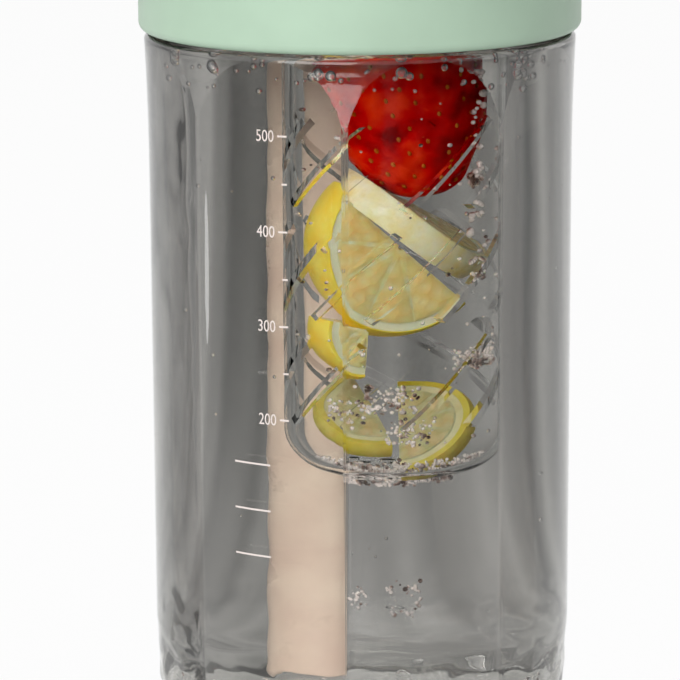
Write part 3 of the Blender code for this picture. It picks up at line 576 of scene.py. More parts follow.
def straw(mat):
    end = 0.6 * MM
    profile = [
        (STRAW_BORE_R, STRAW_HIGH.z),
        (STRAW_R, STRAW_HIGH.z),
        *arc(STRAW_R - end, STRAW_LOW.z + end, end, 0, -90, 5),
        *arc(STRAW_BORE_R + end, STRAW_LOW.z + end, end, -90, -180, 5),
    ]
    tube = turned("drinking_straw", profile, mat, 64, STRAW, closed=True)
    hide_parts("straw")
    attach(tube, "lid")


def lid_cap(mat):
    """The outer cap, with the latch housing, the cover's lugs and the handle's bosses."""
    inner_round = SHELL_ROUND - SHELL_WALL
    profile = [
        (0.0, LID_TOP),
        *arc(LID_R - SHELL_ROUND, LID_TOP - SHELL_ROUND, SHELL_ROUND, 90, 0, 16),
        *arc(LID_R - SHELL_EDGE_ROUND, LID_Z + SHELL_EDGE_ROUND, SHELL_EDGE_ROUND, 0, -90, 10),
        (SHELL_BORE_R, LID_Z),
        *arc(SHELL_BORE_R - inner_round, SHELL_UNDER - inner_round, inner_round, 0, 90, 8),
        (0.0, SHELL_UNDER),
    ]
    cap = turned("lid_cap", profile, mat, FINE)
    low = SHELL_MIDDLE
    well = (HOUSING_BACK_Y + HOUSING_WALL, HOUSING_FRONT_Y - HOUSING_WALL)
    half = HOUSING_HALF_W - HOUSING_WALL
    boss_out = EYE_IN - GAP
    boss_in = boss_out - HANDLE_BOSS_W
    foot = HOUSING_LEAN * (HOUSING_TOP - low)
    for tool in (
        block(
            "housing", (-HOUSING_HALF_W - foot, HOUSING_HALF_W + foot), (HOUSING_BACK_Y, HOUSING_FRONT_Y + foot),
            (low, HOUSING_TOP), HOUSING_ROUND, HOUSING_ROUND / 2, 6, (HOUSING_LEAN, 0.0, HOUSING_LEAN),
        ),
        *(lug("cover_lug", x, HINGE_Y, HINGE_Z, KNUCKLE_R, low - HINGE_Z)
          for x in ((LUG_IN, LUG_IN + LUG_W), (-LUG_IN - LUG_W, -LUG_IN))),
        *(lug("handle_boss", x, 0.0, HANDLE_Z, HANDLE_BAR_R, low - HANDLE_Z)
          for x in ((boss_in, boss_out), (-boss_out, -boss_in))),
    ):
        boolean(cap, tool, "UNION")
    low, high = SHELL_UNDER - OVERCUT, LID_TOP + OVERCUT
    for tool in (
        rod("spout_hole", SPOUT_FLANGE_R + GAP, low, high, 64, (0.0, STRAW_Y)),
        rod("vent_hole", VENT_CAP_R + GAP, low, high, 32, VENT),
        block("well", (-half, half), well, (LID_TOP + HOUSING_WALL, HOUSING_TOP + OVERCUT), 0.4 * MM, 0.0, 3),
        block("arm_slot", (-ARM_HALF_W, ARM_HALF_W), (HOUSING_BACK_Y - OVERCUT, well[0] + OVERCUT), ARM_Z),
        cross_rod("hinge_bore", PIN_BORE_R, -LUG_IN - LUG_W - OVERCUT, LUG_IN + LUG_W + OVERCUT, HINGE_Y, HINGE_Z),
        cross_rod("handle_bore", PIN_BORE_R, -EYE_IN, EYE_IN, 0.0, HANDLE_Z),
    ):
        boolean(cap, tool, "DIFFERENCE")
    to_lid(cap)
    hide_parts("lid_shell")
    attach(cap, "lid")


def cover_cap(mat):
    """The flip cover: a rounded shell with a knuckle behind it."""
    y = (COVER_BACK_Y, COVER_FRONT_Y)
    lean = (COVER_LEAN, COVER_LEAN, COVER_LEAN)
    cap = block(
        "cover_cap", (-COVER_HALF_W, COVER_HALF_W), y, (COVER_Z, COVER_TOP),
        COVER_CORNER_R, COVER_TOP_ROUND, 12, lean, mat,
    )
    below = COVER_WALL - COVER_LEAN * OVERCUT
    inner = COVER_HALF_W - below
    hollow = block(
        "cover_hollow", (-inner, inner), (y[0] + below, y[1] - below), (COVER_Z - OVERCUT, COVER_TOP - COVER_WALL),
        COVER_CORNER_R - COVER_WALL, COVER_TOP_ROUND - COVER_WALL, 10, lean,
    )
    boolean(cap, hollow, "DIFFERENCE")
    web_z = (HINGE_Z - WEB_HALF_T, HINGE_Z + WEB_HALF_T)
    knuckle = (-KNUCKLE_HALF_W, KNUCKLE_HALF_W)
    boolean(cap, cross_rod("knuckle", KNUCKLE_R, *knuckle, HINGE_Y, HINGE_Z, LUG_EASE), "UNION")
    boolean(cap, block("web", knuckle, (HINGE_Y, COVER_BACK_Y + COVER_WALL), web_z), "UNION")
    reach = KNUCKLE_HALF_W + OVERCUT
    boolean(cap, cross_rod("knuckle_bore", PIN_BORE_R, -reach, reach, HINGE_Y, HINGE_Z), "DIFFERENCE")
    to_lid(cap)
    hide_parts("flip_cover")
    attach(cap, "cover")


def handle_loop(mat):
    """The swinging loop, folded back on the lid."""
    steps = 72
    points = [Vector((*polar(HANDLE_R, -pi * i / steps), HANDLE_Z)) for i in range(steps + 1)]
    loop = swept("handle_loop", points, HANDLE_BAR_R, mat)
    for x in ((EYE_IN, EYE_OUT), (-EYE_OUT, -EYE_IN)):
        boolean(loop, cross_rod("eye", HANDLE_BAR_R, *x, 0.0, HANDLE_Z, LUG_EASE), "UNION")
    reach = EYE_OUT + OVERCUT
    boolean(loop, cross_rod("eye_bore", PIN_BORE_R, -reach, reach, 0.0, HANDLE_Z), "DIFFERENCE")
    to_lid(loop)
    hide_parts("carry_handle")
    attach(loop, "handle")


def spout(mat):
    lip = (SPOUT_R - SPOUT_MOUTH_R) / 2
    flange_low = SHELL_UNDER
    flange_top = flange_low + SPOUT_FLANGE_T
    waist_z = flange_top + SPOUT_WAIST_H
    stub_r = STRAW_BORE_R - GAP
    profile = [
        *arc(SPOUT_MOUTH_R + lip, SPOUT_TOP - lip, lip, 180, 0, 16),
        (SPOUT_WAIST_R + 0.1 * MM, waist_z + 1.4 * MM),
        (SPOUT_WAIST_R, waist_z),
        (SPOUT_WAIST_R + 0.25 * MM, waist_z - 2.0 * MM),
        (SPOUT_R, flange_top + SPOUT_FOOT_H),
        (SPOUT_R, flange_top),
        (SPOUT_FLANGE_R, flange_top),
        (SPOUT_FLANGE_R, flange_low),
        (stub_r, flange_low),
        (stub_r, flange_low - SPOUT_STUB_L),
        (SPOUT_BORE_R, flange_low - SPOUT_STUB_L),
        (SPOUT_BORE_R, waist_z),
    ]
    piece = turned("drinking_spout", profile, mat, 64, in_lid(0.0, STRAW_Y), closed=True)
    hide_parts("mouthpiece")
    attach(piece, "lid")


def spout_ring(mat):
    low = LID_TOP + GAP
    profile = [
        (SPOUT_R + GAP, low + RING_T),
        *arc(RING_R - RING_T / 2, low + RING_T / 2, RING_T / 2, 90, 0, 8),
        (RING_R, low),
        (SPOUT_R + GAP, low),
    ]
    piece = turned("spout_ring", profile, mat, 96, in_lid(0.0, STRAW_Y), closed=True)
    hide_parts("mouthpiece_ring")
    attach(piece, "lid")


def spring_coil(mat):
    """The latch's spring."""
    low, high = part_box("latch_spring")
    middle = (low + high) / 2
    radius = (high.x - low.x) / 2 - SPRING_WIRE_R
    length = high.z - low.z
    rise = length - 2 * SPRING_WIRE_R
    steps = 36 * SPRING_TURNS
    points = []
    for i in range(steps + 1):
        turn = i / steps * SPRING_TURNS
        along = min(1.0, max(0.0, (turn - SPRING_FLAT) / (SPRING_TURNS - 2 * SPRING_FLAT)))
        x, y = polar(radius, tau * SPRING_TURNS * i / steps)
        points.append(Vector((middle.x + x, middle.y + y, low.z + SPRING_WIRE_R + rise * along)))
    coil = swept("spring_coil", points, SPRING_WIRE_R, mat, 12)
    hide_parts("latch_spring")
    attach(coil, "lid")
    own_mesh(coil)


def button_ribs(mat):
    """Three low ribs for the finger, moulded on the latch's button."""
    middle_y = (HOUSING_BACK_Y + HOUSING_FRONT_Y) / 2
    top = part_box("latch_button")[1].z
    ribs = None
    for y in (-RIB_PITCH, 0.0, RIB_PITCH):
        rib = block(
            "button_ribs", (-RIB_HALF_L, RIB_HALF_L), (middle_y + y - RIB_W / 2, middle_y + y + RIB_W / 2),
            (top - GAP, top + RIB_H), RIB_W * 0.45, RIB_W * 0.4, 4, mat=mat,
        )
        ribs = boolean(ribs, rib, "UNION") if ribs else rib
    to_lid(ribs)
    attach(ribs, "button")


def strawberry(flesh, seed):
    """A hulled berry, tip down, with its seeds sunk in the skin."""
    rng = random.Random(5)
    length = BERRY_TOP - BERRY_TIP
    steps, around = 44, 80
    bm = bmesh.new()

    def radius_at(t):
        over = max(0.0, (t - BERRY_SHOULDER) / (1 - BERRY_SHOULDER))
        return BERRY_R * max(0.0, t) ** 0.36 * sqrt(max(0.0, 1 - over**2.4))

    def surface(t, a):
        x, y = polar(radius_at(t), a)
        return Vector((x, y * BERRY_DEPTH, length * t))

    def lump(v):
        return 1 + 0.06 * noise.noise(v / (9 * MM)) + 0.02 * noise.noise(v / (3 * MM) + Vector((7, 0, 0)))

    rows = []
    for i in range(steps + 1):
        t = (1 - cos(pi * i / steps)) / 2
        if i in (0, steps):
            rows.append([bm.verts.new((0, 0, length * t))] * around)
            continue
        row = []
        for k in range(around):
            v = surface(t, tau * k / around)
            row.append(bm.verts.new((v.x * lump(v), v.y * lump(v), v.z)))
        rows.append(row)
    skin(bm, rows)
    place = Matrix.Translation(BERRY_PLACE) @ Matrix.Rotation(BERRY_LEAN, 4, "Y")
    seeds = bmesh.new()
    golden = pi * (3 - sqrt(5))
    pits = []
    for i in range(BERRY_SEEDS):
        t = 0.03 + 0.85 * (i + 0.5) / BERRY_SEEDS
        a = golden * i + rng.uniform(-0.12, 0.12)
        slope = (radius_at(t + 0.01) - radius_at(t - 0.01)) / (0.02 * length)
        at = surface(t, a)
        at.xy *= lump(at)
        out = Vector((*polar(1.0, a), -slope)).normalized()
        pits.append((at, out))
        look = out.to_track_quat("X", "Z").to_matrix().to_4x4()
        size = Matrix.Diagonal((0.3 * MM, 0.34 * MM, 0.56 * MM, 1.0))
        matrix = place @ Matrix.Translation(at - out * BERRY_SEED_SUNK) @ look @ size
        bmesh.ops.create_icosphere(seeds, subdivisions=2, radius=1.0, matrix=matrix)
    for v in bm.verts:
        for at, out in pits:
            near = (v.co - at).length
            if near < BERRY_PIT_R:
                v.co -= out * BERRY_PIT_DEEP * (1 - (near / BERRY_PIT_R) ** 2)
    bm.transform(place)
    berry = add_mesh("strawberry", bm, flesh, sharp=80, outward=True)
    pips = add_mesh("strawberry_seeds", seeds, seed)
    for piece in (berry, pips):
        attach(piece, "infuser")


def citrus(name, radius, thick, place, turn, materials, segments, share, start, seed):
    """A slice: peel, pith, and a wedge of flesh between each two skins; share is how much of the wheel it is."""
    rng = random.Random(seed)
    peel, pith, flesh, skins = materials
    span = tau * share
    core_r = radius - CITRUS_PEEL - CITRUS_PITH
    matrix = Matrix.Translation(place) @ turn

    def sector(bm, inner, outer, half, steps, crown=0.0):
        rim = [(outer + crown * (1 - u * u), half * u) for u in (-1, -0.75, -0.5, -0.25, 0, 0.25, 0.5, 0.75, 1)]
        section = [(inner, -half), *rim, (inner, half)]
        cols = []
        for i in range(steps + 1):
            a = start + span * i / steps
            cols.append([bm.verts.new((*polar(r, a), z)) for r, z in section])
        skin(bm, cols, ends=share < 1.0)
        if share == 1.0:
            bmesh.ops.remove_doubles(bm, verts=bm.verts, dist=1e-6)

    def finish(part, bm, mat, sharp=30):
        bm.transform(matrix)
        made.append(add_mesh(f"{name}_{part}", bm, mat, sharp=sharp, outward=True))

    half = thick / 2
    crown = 0.12 * thick
    made = []
    for part, mat, inner, outer, drop, bulge in (
        ("peel", peel, radius - CITRUS_PEEL, radius - crown, 0.0, crown),
        ("pith", pith, core_r, radius - CITRUS_PEEL, 0.15 * MM, 0.0),
    ):
        bm = bmesh.new()
        sector(bm, inner, outer, half - drop, int(72 * share) + 8, bulge)
        finish(part, bm, mat)
    bm = bmesh.new()
    each = span / segments
    for s in range(segments):
        begin, end = start + s * each, start + (s + 1) * each
        middle = (begin + end) / 2
        inset = CITRUS_SKIN / 2
        count = 7
        tip = max(inset / sin(each / 2), 1.6 * MM)
        outer = core_r - 0.1 * MM
        edge = asin(inset / outer)
        outline = [Vector(polar(tip, middle))]
        for i in range(count + 1):
            outline.append(Vector(polar(outer, begin + edge + (end - begin - 2 * edge) * i / count)))
        puff = rng.uniform(0.02, 0.2) * MM
        centre = Vector(polar(0.6 * core_r, middle))
        layers = []
        for z, shrink in ((-half - puff, 0.8), (-half, 0.99), (0.0, 1.0), (half, 0.99), (half + puff, 0.8)):
            layers.append([bm.verts.new((*(centre + (p - centre) * shrink), z)) for p in outline])
        skin(bm, layers, ends=True)
    finish("flesh", bm, flesh, 50)
    bm = bmesh.new()
    sector(bm, 0.4 * MM, core_r, half - 0.05 * MM, int(60 * share) + 6)
    finish("skins", bm, skins)
    for piece in made:
        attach(piece, "infuser")


def scale_print(mat):
    """Ticks and plain numbers, wrapped round the wall; u runs to the left as seen from outside."""
    bm = bmesh.new()

    def plot(points, faces, z0):
        verts = []
        for u, v in points:
            verts.append(bm.verts.new((*polar(BODY_R + PRINT_PROUD, SCALE_ANGLE - u / BODY_R), z0 + v)))
        for f in faces:
            bm.faces.new([verts[i] for i in f])

    def line(u_low, u_high, z):
        cells = 8
        half = SCALE_LINE_H / 2
        points = [(u_low + (u_high - u_low) * i / cells, h) for i in range(cells + 1) for h in (-half, half)]
        plot(points, [(2 * i, 2 * i + 1, 2 * i + 3, 2 * i + 2) for i in range(cells)], z)

    for mark in range(SCALE_MARKS):
        z = SCALE_TOP_Z - mark * SCALE_STEP
        amount = 50 * (SCALE_MARKS - mark)
        if mark >= SCALE_NUMBERED:
            line(*SCALE_LINE, z)
            continue
        if amount % 100:
            line(0.0, SCALE_TICK_L * 0.6, z)
            continue
        line(0.0, SCALE_TICK_L, z)
        text = bpy.data.curves.new("scale_number", "FONT")
        text.body = str(amount)
        text.size = SCALE_TEXT_H / 0.7
        text.resolution_u = 4
        text.align_x = "RIGHT"
        guide = add_object("scale_number", text)
        mesh = shown_mesh(guide)
        points = [(SCALE_TICK_L + 0.7 * MM - v.co.x * SCALE_TEXT_SQUEEZE, v.co.y) for v in mesh.vertices]
        plot(points, [tuple(p.vertices) for p in mesh.polygons], z - SCALE_TEXT_H / 2)
        bpy.data.objects.remove(guide)
    bmesh.ops.recalc_face_normals(bm, faces=bm.faces)
    bmesh.ops.solidify(bm, geom=bm.faces, thickness=PRINT_T)
    piece = add_mesh("volume_scale", bm, mat, smooth=False)
    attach(piece, "bottle")


def bubbles(air, painted_light_bubbles):
    """Small clinging bubbles, each facing inwards, because the water is outside it."""
    rng = random.Random(11)
    clear_of = 0.05 * MM
    corner = INFUSER_CORNER_R - INFUSER_WALL
    flat = CAVITY_CORNER_R * cos(pi / CAVITY_SIDES)

    ball = bmesh.new()
    bmesh.ops.create_icosphere(ball, subdivisions=2, radius=1.0)
    points = [v.co.copy() for v in ball.verts]
    sides = [[v.index for v in reversed(f.verts)] for f in ball.faces]
    ball.free()

    def patches(name, rows, body, centre, reach, mat):
        places = []
        for angle_low, angle_high, z_low, z_high, count, size in rows:
            for _ in range(count):
                r = rng.uniform(*size) * MM
                a = radians(rng.uniform(angle_low, angle_high))
                z = rng.uniform(z_low, z_high) * MM
                out = reach(a, z, r + clear_of)
                places.append((centre + Vector((*polar(out, a), z)), r))
        if rows is WALL_PATCHES:
            for _ in range(FLOOR_BUBBLES):
                r = rng.uniform(0.3, 0.8) * MM
                a = rng.uniform(0, tau)
                out = rng.uniform(8, 34) * MM
                places.append((Vector((*polar(out, a), BASE_T + r + clear_of)), r))
        mesh = bpy.data.meshes.new(name)
        faces = [[i + k * len(points) for i in side] for k in range(len(places)) for side in sides]
        mesh.from_pydata([at + p * r for at, r in places for p in points], [], faces)
        mesh.shade_smooth()
        mesh.materials.append(mat)
        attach(add_object(name, mesh), body)

    def in_infuser(angle, z, room):
        drop = INFUSER_Z + INFUSER_CORNER_R - z
        if drop <= 0:
            return INFUSER_BORE_R - room
        return INFUSER_BORE_R - corner + sqrt(max(0.0, (corner - room) ** 2 - drop**2))

    def on_wall(angle, z, room):
        face = tau / CAVITY_SIDES
        drop = BASE_T + FLOOR_FILLET - z
        inset = FLOOR_FILLET - sqrt(max(0.0, FLOOR_FILLET**2 - drop**2)) if drop > 0 else 0.0
        return (flat - inset - room) / cos((angle - CAVITY_TURN) % face - face / 2)

    patches("infuser_bubbles", INFUSER_PATCHES, "infuser", INFUSER, in_infuser, painted_light_bubbles)
    patches("wall_bubbles", WALL_PATCHES, "bottle", Vector(), on_wall, air)
    patches("low_bubbles", LOW_PATCHES, "bottle", Vector(), on_wall, painted_light_bubbles)


MIX_A, MIX_B, MIX_COLOUR = 6, 7, 2  # a Mix node's sockets for colours


class Nodes:
    """A short way to add and link the nodes of one material, or of the world."""

    def __init__(self, owner, place="Object"):
        self.tree = owner.node_tree
        self.shader = self.tree.nodes.get("Principled BSDF")
        self.output = self.tree.nodes.get("Material Output")
        self.place = self.tree.nodes.new("ShaderNodeTexCoord").outputs[place]

    def add(self, kind, links=(), **values):
        node = self.tree.nodes.new("ShaderNode" + kind)
        for key, value in values.items():
            if key in node.inputs:
                node.inputs[key].default_value = value
            else:
                setattr(node, key, value)
        for socket, source in links:
            self.tree.links.new(source, node.inputs[socket])
        return node

    def noise(self, scale, detail=3.0, rough=0.5, place=None):
        links = [("Vector", place or self.place)]
        return self.add("TexNoise", links, Scale=scale, Detail=detail, Roughness=rough).outputs["Fac"]

    def spread(self, source, low, high, start=0.3, end=0.7):
        limits = {"From Min": start, "From Max": end, "To Min": low, "To Max": high}
        return self.add("MapRange", [("Value", source)], **limits).outputs["Result"]

    def ramp(self, source, stops):
        node = self.add("ValToRGB", [("Fac", source)])
        items = node.color_ramp.elements
        while len(items) < len(stops):
            items.new(0.5)
        for item, (at, colour) in zip(items, stops):
            item.position = at
            item.color = (*colour, 1.0)
        return node.outputs["Color"]

    def bump(self, source, strength, distance, normal=None):
        links = [("Height", source)] + ([("Normal", normal)] if normal else [])
        return self.add("Bump", links, Strength=strength, Distance=distance).outputs["Normal"]

    def math(self, operation, *inputs):
        node = self.add("Math", operation=operation)
        for socket, value in zip(node.inputs, inputs):
            if isinstance(value, float):
                socket.default_value = value
            else:
                self.tree.links.new(value, socket)
        return node.outputs[0]

    def to(self, socket, source):
        self.tree.links.new(source, self.shader.inputs[socket])


def principled(name, colour, roughness, **values):
    mat = bpy.data.materials.new(name)
    mat.use_nodes = True
    shader = mat.node_tree.nodes["Principled BSDF"]
    shader.inputs["Base Color"].default_value = (*colour, 1.0)
    shader.inputs["Roughness"].default_value = roughness
    for key, value in values.items():
        shader.inputs[key.replace("_", " ")].default_value = value
    return mat


def moulded(name, colour, roughness, shade=0.06, grain=900.0, relief=0.06, cloud=38.0, **values):
    """Moulded plastic or rubber: fine grain, soft clouds of colour, uneven gloss, and paler worn edges."""
    mat = principled(name, colour, roughness, **values)
    n = Nodes(mat)
    dark = tuple(c * (1 - shade) for c in colour)
    pale = tuple(min(1.0, c * (1 + shade * 0.6)) for c in colour)
    clouds = n.ramp(n.noise(cloud, 4.0), ((0.35, dark), (0.65, pale)))
    edge = n.spread(n.add("NewGeometry").outputs["Pointiness"], 0.0, 0.5, 0.53, 0.62)
    worn = tuple(min(1.0, c * 1.12 + 0.02) for c in colour)
    mix = n.add("Mix", [("Factor", edge), (MIX_A, clouds)], data_type="RGBA")
    mix.inputs[MIX_B].default_value = (*worn, 1.0)
    n.to("Base Color", mix.outputs[MIX_COLOUR])
    n.to("Roughness", n.spread(n.noise(120.0, 5.0, 0.6), roughness - 0.07, roughness + 0.07))
    wave = n.bump(n.noise(60.0, 2.0), 0.12, 0.0004)
    n.to("Normal", n.bump(n.noise(grain, 2.0, 0.6), relief, 0.0002, wave))
    return mat


def clear_material(name, ior, tint=(1.0, 1.0, 1.0), weight=1.0, gloss=0.0, ripple=0.0, colour=None, density=0.0):
    """Water, or clear plastic, which darkens light by the way through it and has faint smears and moulding waves."""
    mat = principled(name, tint, 0.0, IOR=ior, Transmission_Weight=weight)
    n = Nodes(mat)
    if density:
        volume = n.add("VolumeAbsorption", Color=(*colour, 1.0), Density=density)
        n.tree.links.new(volume.outputs["Volume"], n.output.inputs["Volume"])
    if gloss:
        n.to("Roughness", n.spread(n.noise(70.0, 6.0, 0.65), 0.0, gloss, 0.52, 0.75))
    if ripple:
        n.to("Normal", n.bump(n.noise(45.0, 2.0), ripple, 0.0006))
    return mat


def speckle(mat):
    """Paints some of the small bubbles bright and some dark: painted glints, as where they catch a lamp, and painted
    shade, as where they show a dark wall.
    """
    n = Nodes(mat)
    stops = ((0.36, srgb(96, 78, 72)), (0.42, srgb(176, 150, 140)), (0.5, srgb(255, 248, 244)))
    n.to("Base Color", n.ramp(n.noise(420.0, 1.0), stops))


def steel_material():
    mat = principled("pin_steel", (0.62, 0.61, 0.59), 0.28, Metallic=1.0)
    n = Nodes(mat)
    n.to("Base Color", n.ramp(n.noise(400.0, 4.0), ((0.3, (0.5, 0.49, 0.47)), (0.7, (0.66, 0.65, 0.63)))))
    n.to("Roughness", n.spread(n.noise(900.0, 5.0, 0.7), 0.2, 0.42))
    n.to("Normal", n.bump(n.noise(2400.0, 2.0), 0.1, 0.0001))
    return mat


def berry_material():
    mat = principled(
        "strawberry_flesh", srgb(196, 26, 22), 0.25, IOR=WET_IOR, Subsurface_Weight=0.25, Subsurface_Scale=0.003
    )
    mat.node_tree.nodes["Principled BSDF"].inputs["Subsurface Radius"].default_value = (1.0, 0.25, 0.15)
    n = Nodes(mat)
    stops = ((0.3, srgb(116, 10, 10)), (0.48, srgb(206, 20, 14)), (0.7, srgb(248, 70, 34)))
    n.to("Base Color", n.ramp(n.noise(130.0, 5.0, 0.6), stops))
    n.to("Roughness", n.spread(n.noise(300.0, 3.0), 0.16, 0.4))
    n.to("Normal", n.bump(n.noise(700.0, 3.0), 0.25, 0.0004))
    return mat


def fruit_material(name, dark, pale, scale, roughness=0.35, relief=0.3):
    """Peel, pith or a seed, mottled between two colours given as 0 to 255."""
    dark, pale = srgb(*dark), srgb(*pale)
    mat = principled(name, pale, roughness, IOR=WET_IOR, Subsurface_Weight=0.3, Subsurface_Scale=0.004)
    n = Nodes(mat)
    n.to("Base Color", n.ramp(n.noise(scale, 5.0, 0.6), ((0.32, dark), (0.68, pale))))
    n.to("Roughness", n.spread(n.noise(scale * 3, 3.0), roughness - 0.12, roughness + 0.12))
    n.to("Normal", n.bump(n.noise(scale * 2.5, 3.0, 0.6), relief, 0.0006))
    return mat


def pulp_material(name, dark, pale):
    """Citrus flesh, with juice cells from a cell pattern."""
    dark, pale = srgb(*dark), srgb(*pale)
    mat = principled(name, pale, 0.2, IOR=WET_IOR, Subsurface_Weight=0.5, Subsurface_Scale=0.006)
    n = Nodes(mat)
    cells = n.add("TexVoronoi", [("Vector", n.place)], Scale=520.0)
    n.to("Base Color", n.ramp(cells.outputs["Distance"], ((0.0, pale), (0.75, dark))))
    n.to("Roughness", n.spread(n.noise(500.0, 3.0), 0.1, 0.32))
    n.to("Normal", n.bump(cells.outputs["Distance"], 0.4, 0.0006))
    return mat


def add_rays(n, place):
    """Two values: 1 where the background is seen, directly or in gloss or clear plastic, and how bright it is there.

    Through clear plastic it is painted darker, in soft bands round the object: painted shade, as a darker room would
    give.
    """
    rays = n.add("LightPath").outputs
    level_place = n.add("VectorMath", [(0, place)], operation="MULTIPLY")
    level_place.inputs[1].default_value = (1.0, 1.0, 0.0)
    around = n.add("VectorMath", [(0, level_place.outputs[0])], operation="NORMALIZE").outputs[0]
    # painted shade: a darker, banded background through clear plastic
    room = n.spread(n.noise(PAINTED_SHADE_BANDS, 2.0, place=around), *SEEN_THROUGH, 0.35, 0.65)
    through = rays["Is Transmission Ray"]
    direct = n.math("MAXIMUM", rays["Is Camera Ray"], rays["Is Glossy Ray"])
    level = n.math("SUBTRACT", 1.0, n.math("MULTIPLY", through, n.math("SUBTRACT", 1.0, room)))
    return n.math("MAXIMUM", direct, through), level


def world():
    """A plain studio: white behind the object, and a soft even light on it; through clear plastic the background is
    painted darker.
    """
    studio = bpy.data.worlds.new("studio")
    scene.world = studio
    studio.use_nodes = True
    n = Nodes(studio, "Generated")
    background = n.tree.nodes["Background"]
    background.inputs["Color"].default_value = (1.0, 1.0, 1.0, 1.0)
    seen, level = add_rays(n, n.place)
    strength = n.spread(seen, WORLD_LIGHT, 1.0, 0.0, 1.0)
    n.tree.links.new(n.math("MULTIPLY", strength, level), background.inputs["Strength"])


def lamp(name, place, aim, size, power, shape="RECTANGLE"):
    """A soft lamp, which the camera doesn't see."""
    data = bpy.data.lights.new(name, "AREA")
    data.shape = shape
    data.size, data.size_y = size
    data.energy = power
    obj = add_object(name, data)
    obj.location = place
    obj.rotation_euler = (Vector(aim) - Vector(place)).to_track_quat("-Z", "Y").to_euler()
    obj.visible_camera = False


def floor():
    """The floor; through clear plastic it shows the painted darker background, and in gloss its front part is painted
    darker, a painted dark reflection as of a dark card.
    """
    bm = bmesh.new()
    bmesh.ops.create_grid(bm, x_segments=1, y_segments=1, size=3.0)
    mat = principled("floor_paint", (0.65, 0.65, 0.65), 0.8)
    obj = add_mesh("floor", bm, mat, smooth=False)
    n = Nodes(mat)
    n.to("Roughness", n.spread(n.noise(30.0), 0.7, 0.9))
    glow = n.add("Emission")
    mix = n.add("MixShader")
    place = n.add("NewGeometry").outputs["Position"]
    seen, level = add_rays(n, place)
    along = n.add("SeparateXYZ", [("Vector", place)])
    dim = n.spread(along.outputs["Y"], PAINTED_REFLECTION_DIM, 0.0, *PAINTED_REFLECTION_Y)
    # painted dark reflection: the floor's front part darker in gloss only
    painted_dark_reflection = n.math("MULTIPLY", dim, n.add("LightPath").outputs["Is Glossy Ray"])
    n.tree.links.new(n.math("SUBTRACT", level, painted_dark_reflection), glow.inputs["Strength"])
    share = n.math("MULTIPLY", seen, FLOOR_GLOW)
    for socket, source in zip(mix.inputs, (share, n.shader.outputs[0], glow.outputs[0])):
        n.tree.links.new(source, socket)
    n.tree.links.new(mix.outputs[0], n.output.inputs["Surface"])


def camera():
    data = bpy.data.cameras.new("camera")
    data.lens = CAMERA_LENS
    data.clip_end = 20
    cam = add_object("camera", data)
    back = Vector((0.0, -cos(CAMERA_PITCH), sin(CAMERA_PITCH)))
    cam.location = Vector((CAMERA_SIDE, 0.0, CAMERA_AIM_Z)) + back * CAMERA_DISTANCE
    look = (-back).to_track_quat("-Z", "Y").to_matrix().to_4x4()
    cam.rotation_euler = (look @ Matrix.Rotation(CAMERA_ROLL, 4, "Z")).to_euler()
    scene.camera = cam


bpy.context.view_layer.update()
scene.view_settings.view_transform = "Standard"
scene.cycles.max_bounces = 24
scene.cycles.transmission_bounces = 24
camera()
world()
floor()
lamp("key", (-0.55, -1.25, 0.75), (0, 0, 0.1), (1.1, 1.1), 16.5)
lamp("top", (0.1, 0.15, 1.1), (0, 0, 0.1), (0.9, 0.9), 5.0)
lamp("rim", (0.8, 0.6, 0.5), (0, 0, 0.1), (0.4, 0.9), 0.7)
lamp("strip", (-0.3, -0.02, 0.045), (0, 0, 0.045), (0.014, 0.045), 0.006, "ELLIPSE")

clear = clear_material("clear_plastic", 1.54, gloss=0.035, ripple=0.2, colour=(0.7, 0.71, 0.69), density=110)
infuser_clear = clear_material(
    "infuser_plastic", 1.12, gloss=0.035, ripple=0.05, colour=(0.7, 0.74, 0.73), density=60
)
water_mat = clear_material("water", 1.33, (0.84, 0.815, 0.78))
air = clear_material("bubble_air", 1.33, weight=0.93)
# painted light: the small bubbles' colour holds painted glints and painted shade
painted_light_bubbles = clear_material("bubble_painted_light", 1.33, weight=0.58)
speckle(painted_light_bubbles)
straw_mat = moulded("straw_plastic", srgb(255, 221, 200), 0.3, 0.18, 1200.0, cloud=80.0)
mint = moulded("mint_plastic", srgb(190, 217, 193), 0.42, Specular_IOR_Level=0.3)
white = moulded("white_plastic", srgb(232, 233, 228), 0.45)
silicone = moulded("silicone", srgb(238, 237, 231), 0.55, 0.05, 1500.0, Subsurface_Weight=0.15, Subsurface_Scale=0.002)
steel = steel_material()
ink = moulded("scale_ink", srgb(240, 228, 222), 0.5)

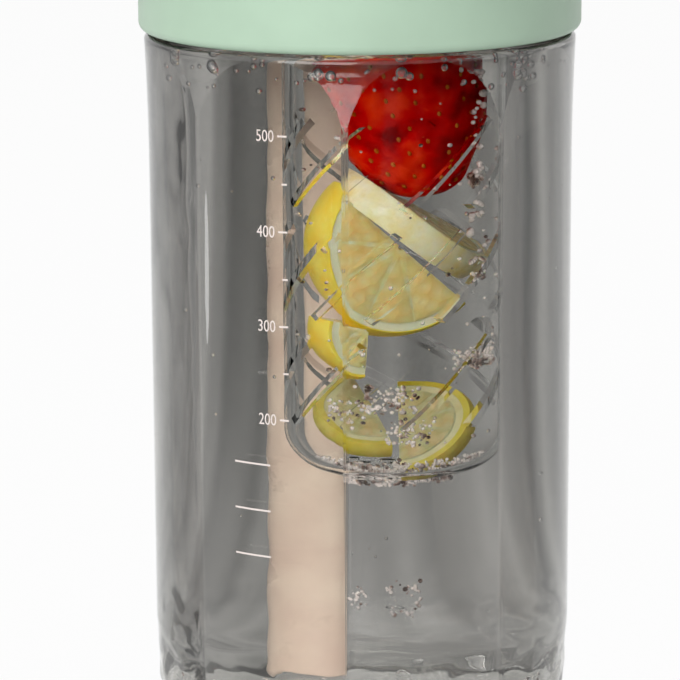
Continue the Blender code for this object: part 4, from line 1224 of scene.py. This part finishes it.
bottle_wall(clear)
water(water_mat)
infuser(infuser_clear)
straw(straw_mat)
lid_cap(mint)
cover_cap(mint)
handle_loop(mint)
spout(silicone)
spout_ring(mint)
spring_coil(steel)
button_ribs(white)
scale_print(ink)
bubbles(air, painted_light_bubbles)
strawberry(berry_material(), fruit_material("strawberry_seed", (150, 62, 26), (206, 122, 52), 900.0))
lemon = (
    fruit_material("lemon_peel", (255, 206, 48), (255, 228, 96), 260.0),
    fruit_material("lemon_pith", (238, 224, 184), (250, 242, 214), 200.0),
    pulp_material("lemon_flesh", (255, 210, 136), (255, 228, 168)),
    pulp_material("lemon_skin", (255, 224, 152), (255, 243, 200)),
)
cut_lemon = (fruit_material("lemon_rind", (250, 224, 150), (255, 246, 214), 300.0), *lemon[1:])
lime = (
    fruit_material("lime_peel", (192, 174, 56), (214, 196, 96), 260.0),
    fruit_material("lime_pith", (208, 194, 146), (222, 208, 168), 200.0),
    pulp_material("lime_flesh", (194, 176, 124), (214, 196, 154)),
    pulp_material("lime_skin", (198, 182, 132), (216, 202, 160)),
)
upright = about("X", 90)
stretched = Matrix.Diagonal((1, 1, 1.2, 1))
for name, radius, thick, place, turn, fruit, segments, share, start in (
    ("lemon_half", 15.6, 11, (-0.4, -1.5, 103.5), stretched @ about("Z", 20) @ upright, lemon, 5, 0.5, 136),
    ("lemon_slice", 14.2, 5.6, (2.4, 0.6, 107.2), about("Y", 43) @ about("X", -4), cut_lemon, 10, 1.0, 0),
    ("lemon_wedge", 10.5, 8, (-5.0, -4.0, 87.0), about("Z", 24) @ upright, lemon, 3, 0.28, 165),
    ("lime_left", 12.2, 3.6, (-2.6, 3.0, 68.2), about("Y", 4) @ about("X", 30), lime, 5, 0.5, 105),
    ("lime_right", 11.6, 3.6, (1.4, -1.2, 65.4), about("Y", -16) @ about("X", 42), lime, 5, 0.5, -100),
):
    place = INFUSER + Vector(place) * MM
    citrus(name, radius * MM, thick * MM, place, turn, fruit, segments, share, radians(start), len(name))

# The nodes that no piece here replaces: their finish, and how wide their edges are eased, in mm
for name, mat, ease in (
    ("lid_liner", white, 0.25),
    ("lid_gasket", silicone, 0.2),
    ("infuser_collar", white, 0.2),
    ("infuser_seal", silicone, 0.2),
    ("straw_grommet", silicone, 0.2),
    ("vent_valve", silicone, 0.1),
    ("cover_plug", silicone, 0.15),
    ("cover_hinge_pin", steel, 0.15),
    ("latch_button", white, 0.2),
    ("handle_pin_right", steel, 0.15),
    ("handle_pin_left", steel, 0.15),
):
    obj = frame["nodes"][name]
    obj.data.materials.clear()
    obj.data.materials.append(mat)
    mod = obj.modifiers.new("ease", "BEVEL")
    mod.width = ease * MM
    mod.segments = 2
    mod.limit_method = "ANGLE"
    mod.angle_limit = radians(40)

for name in ("bottle_wall", "water", "infuser_tube", "infuser_bubbles", "wall_bubbles", "low_bubbles"):
    bpy.data.objects[name].visible_shadow = False
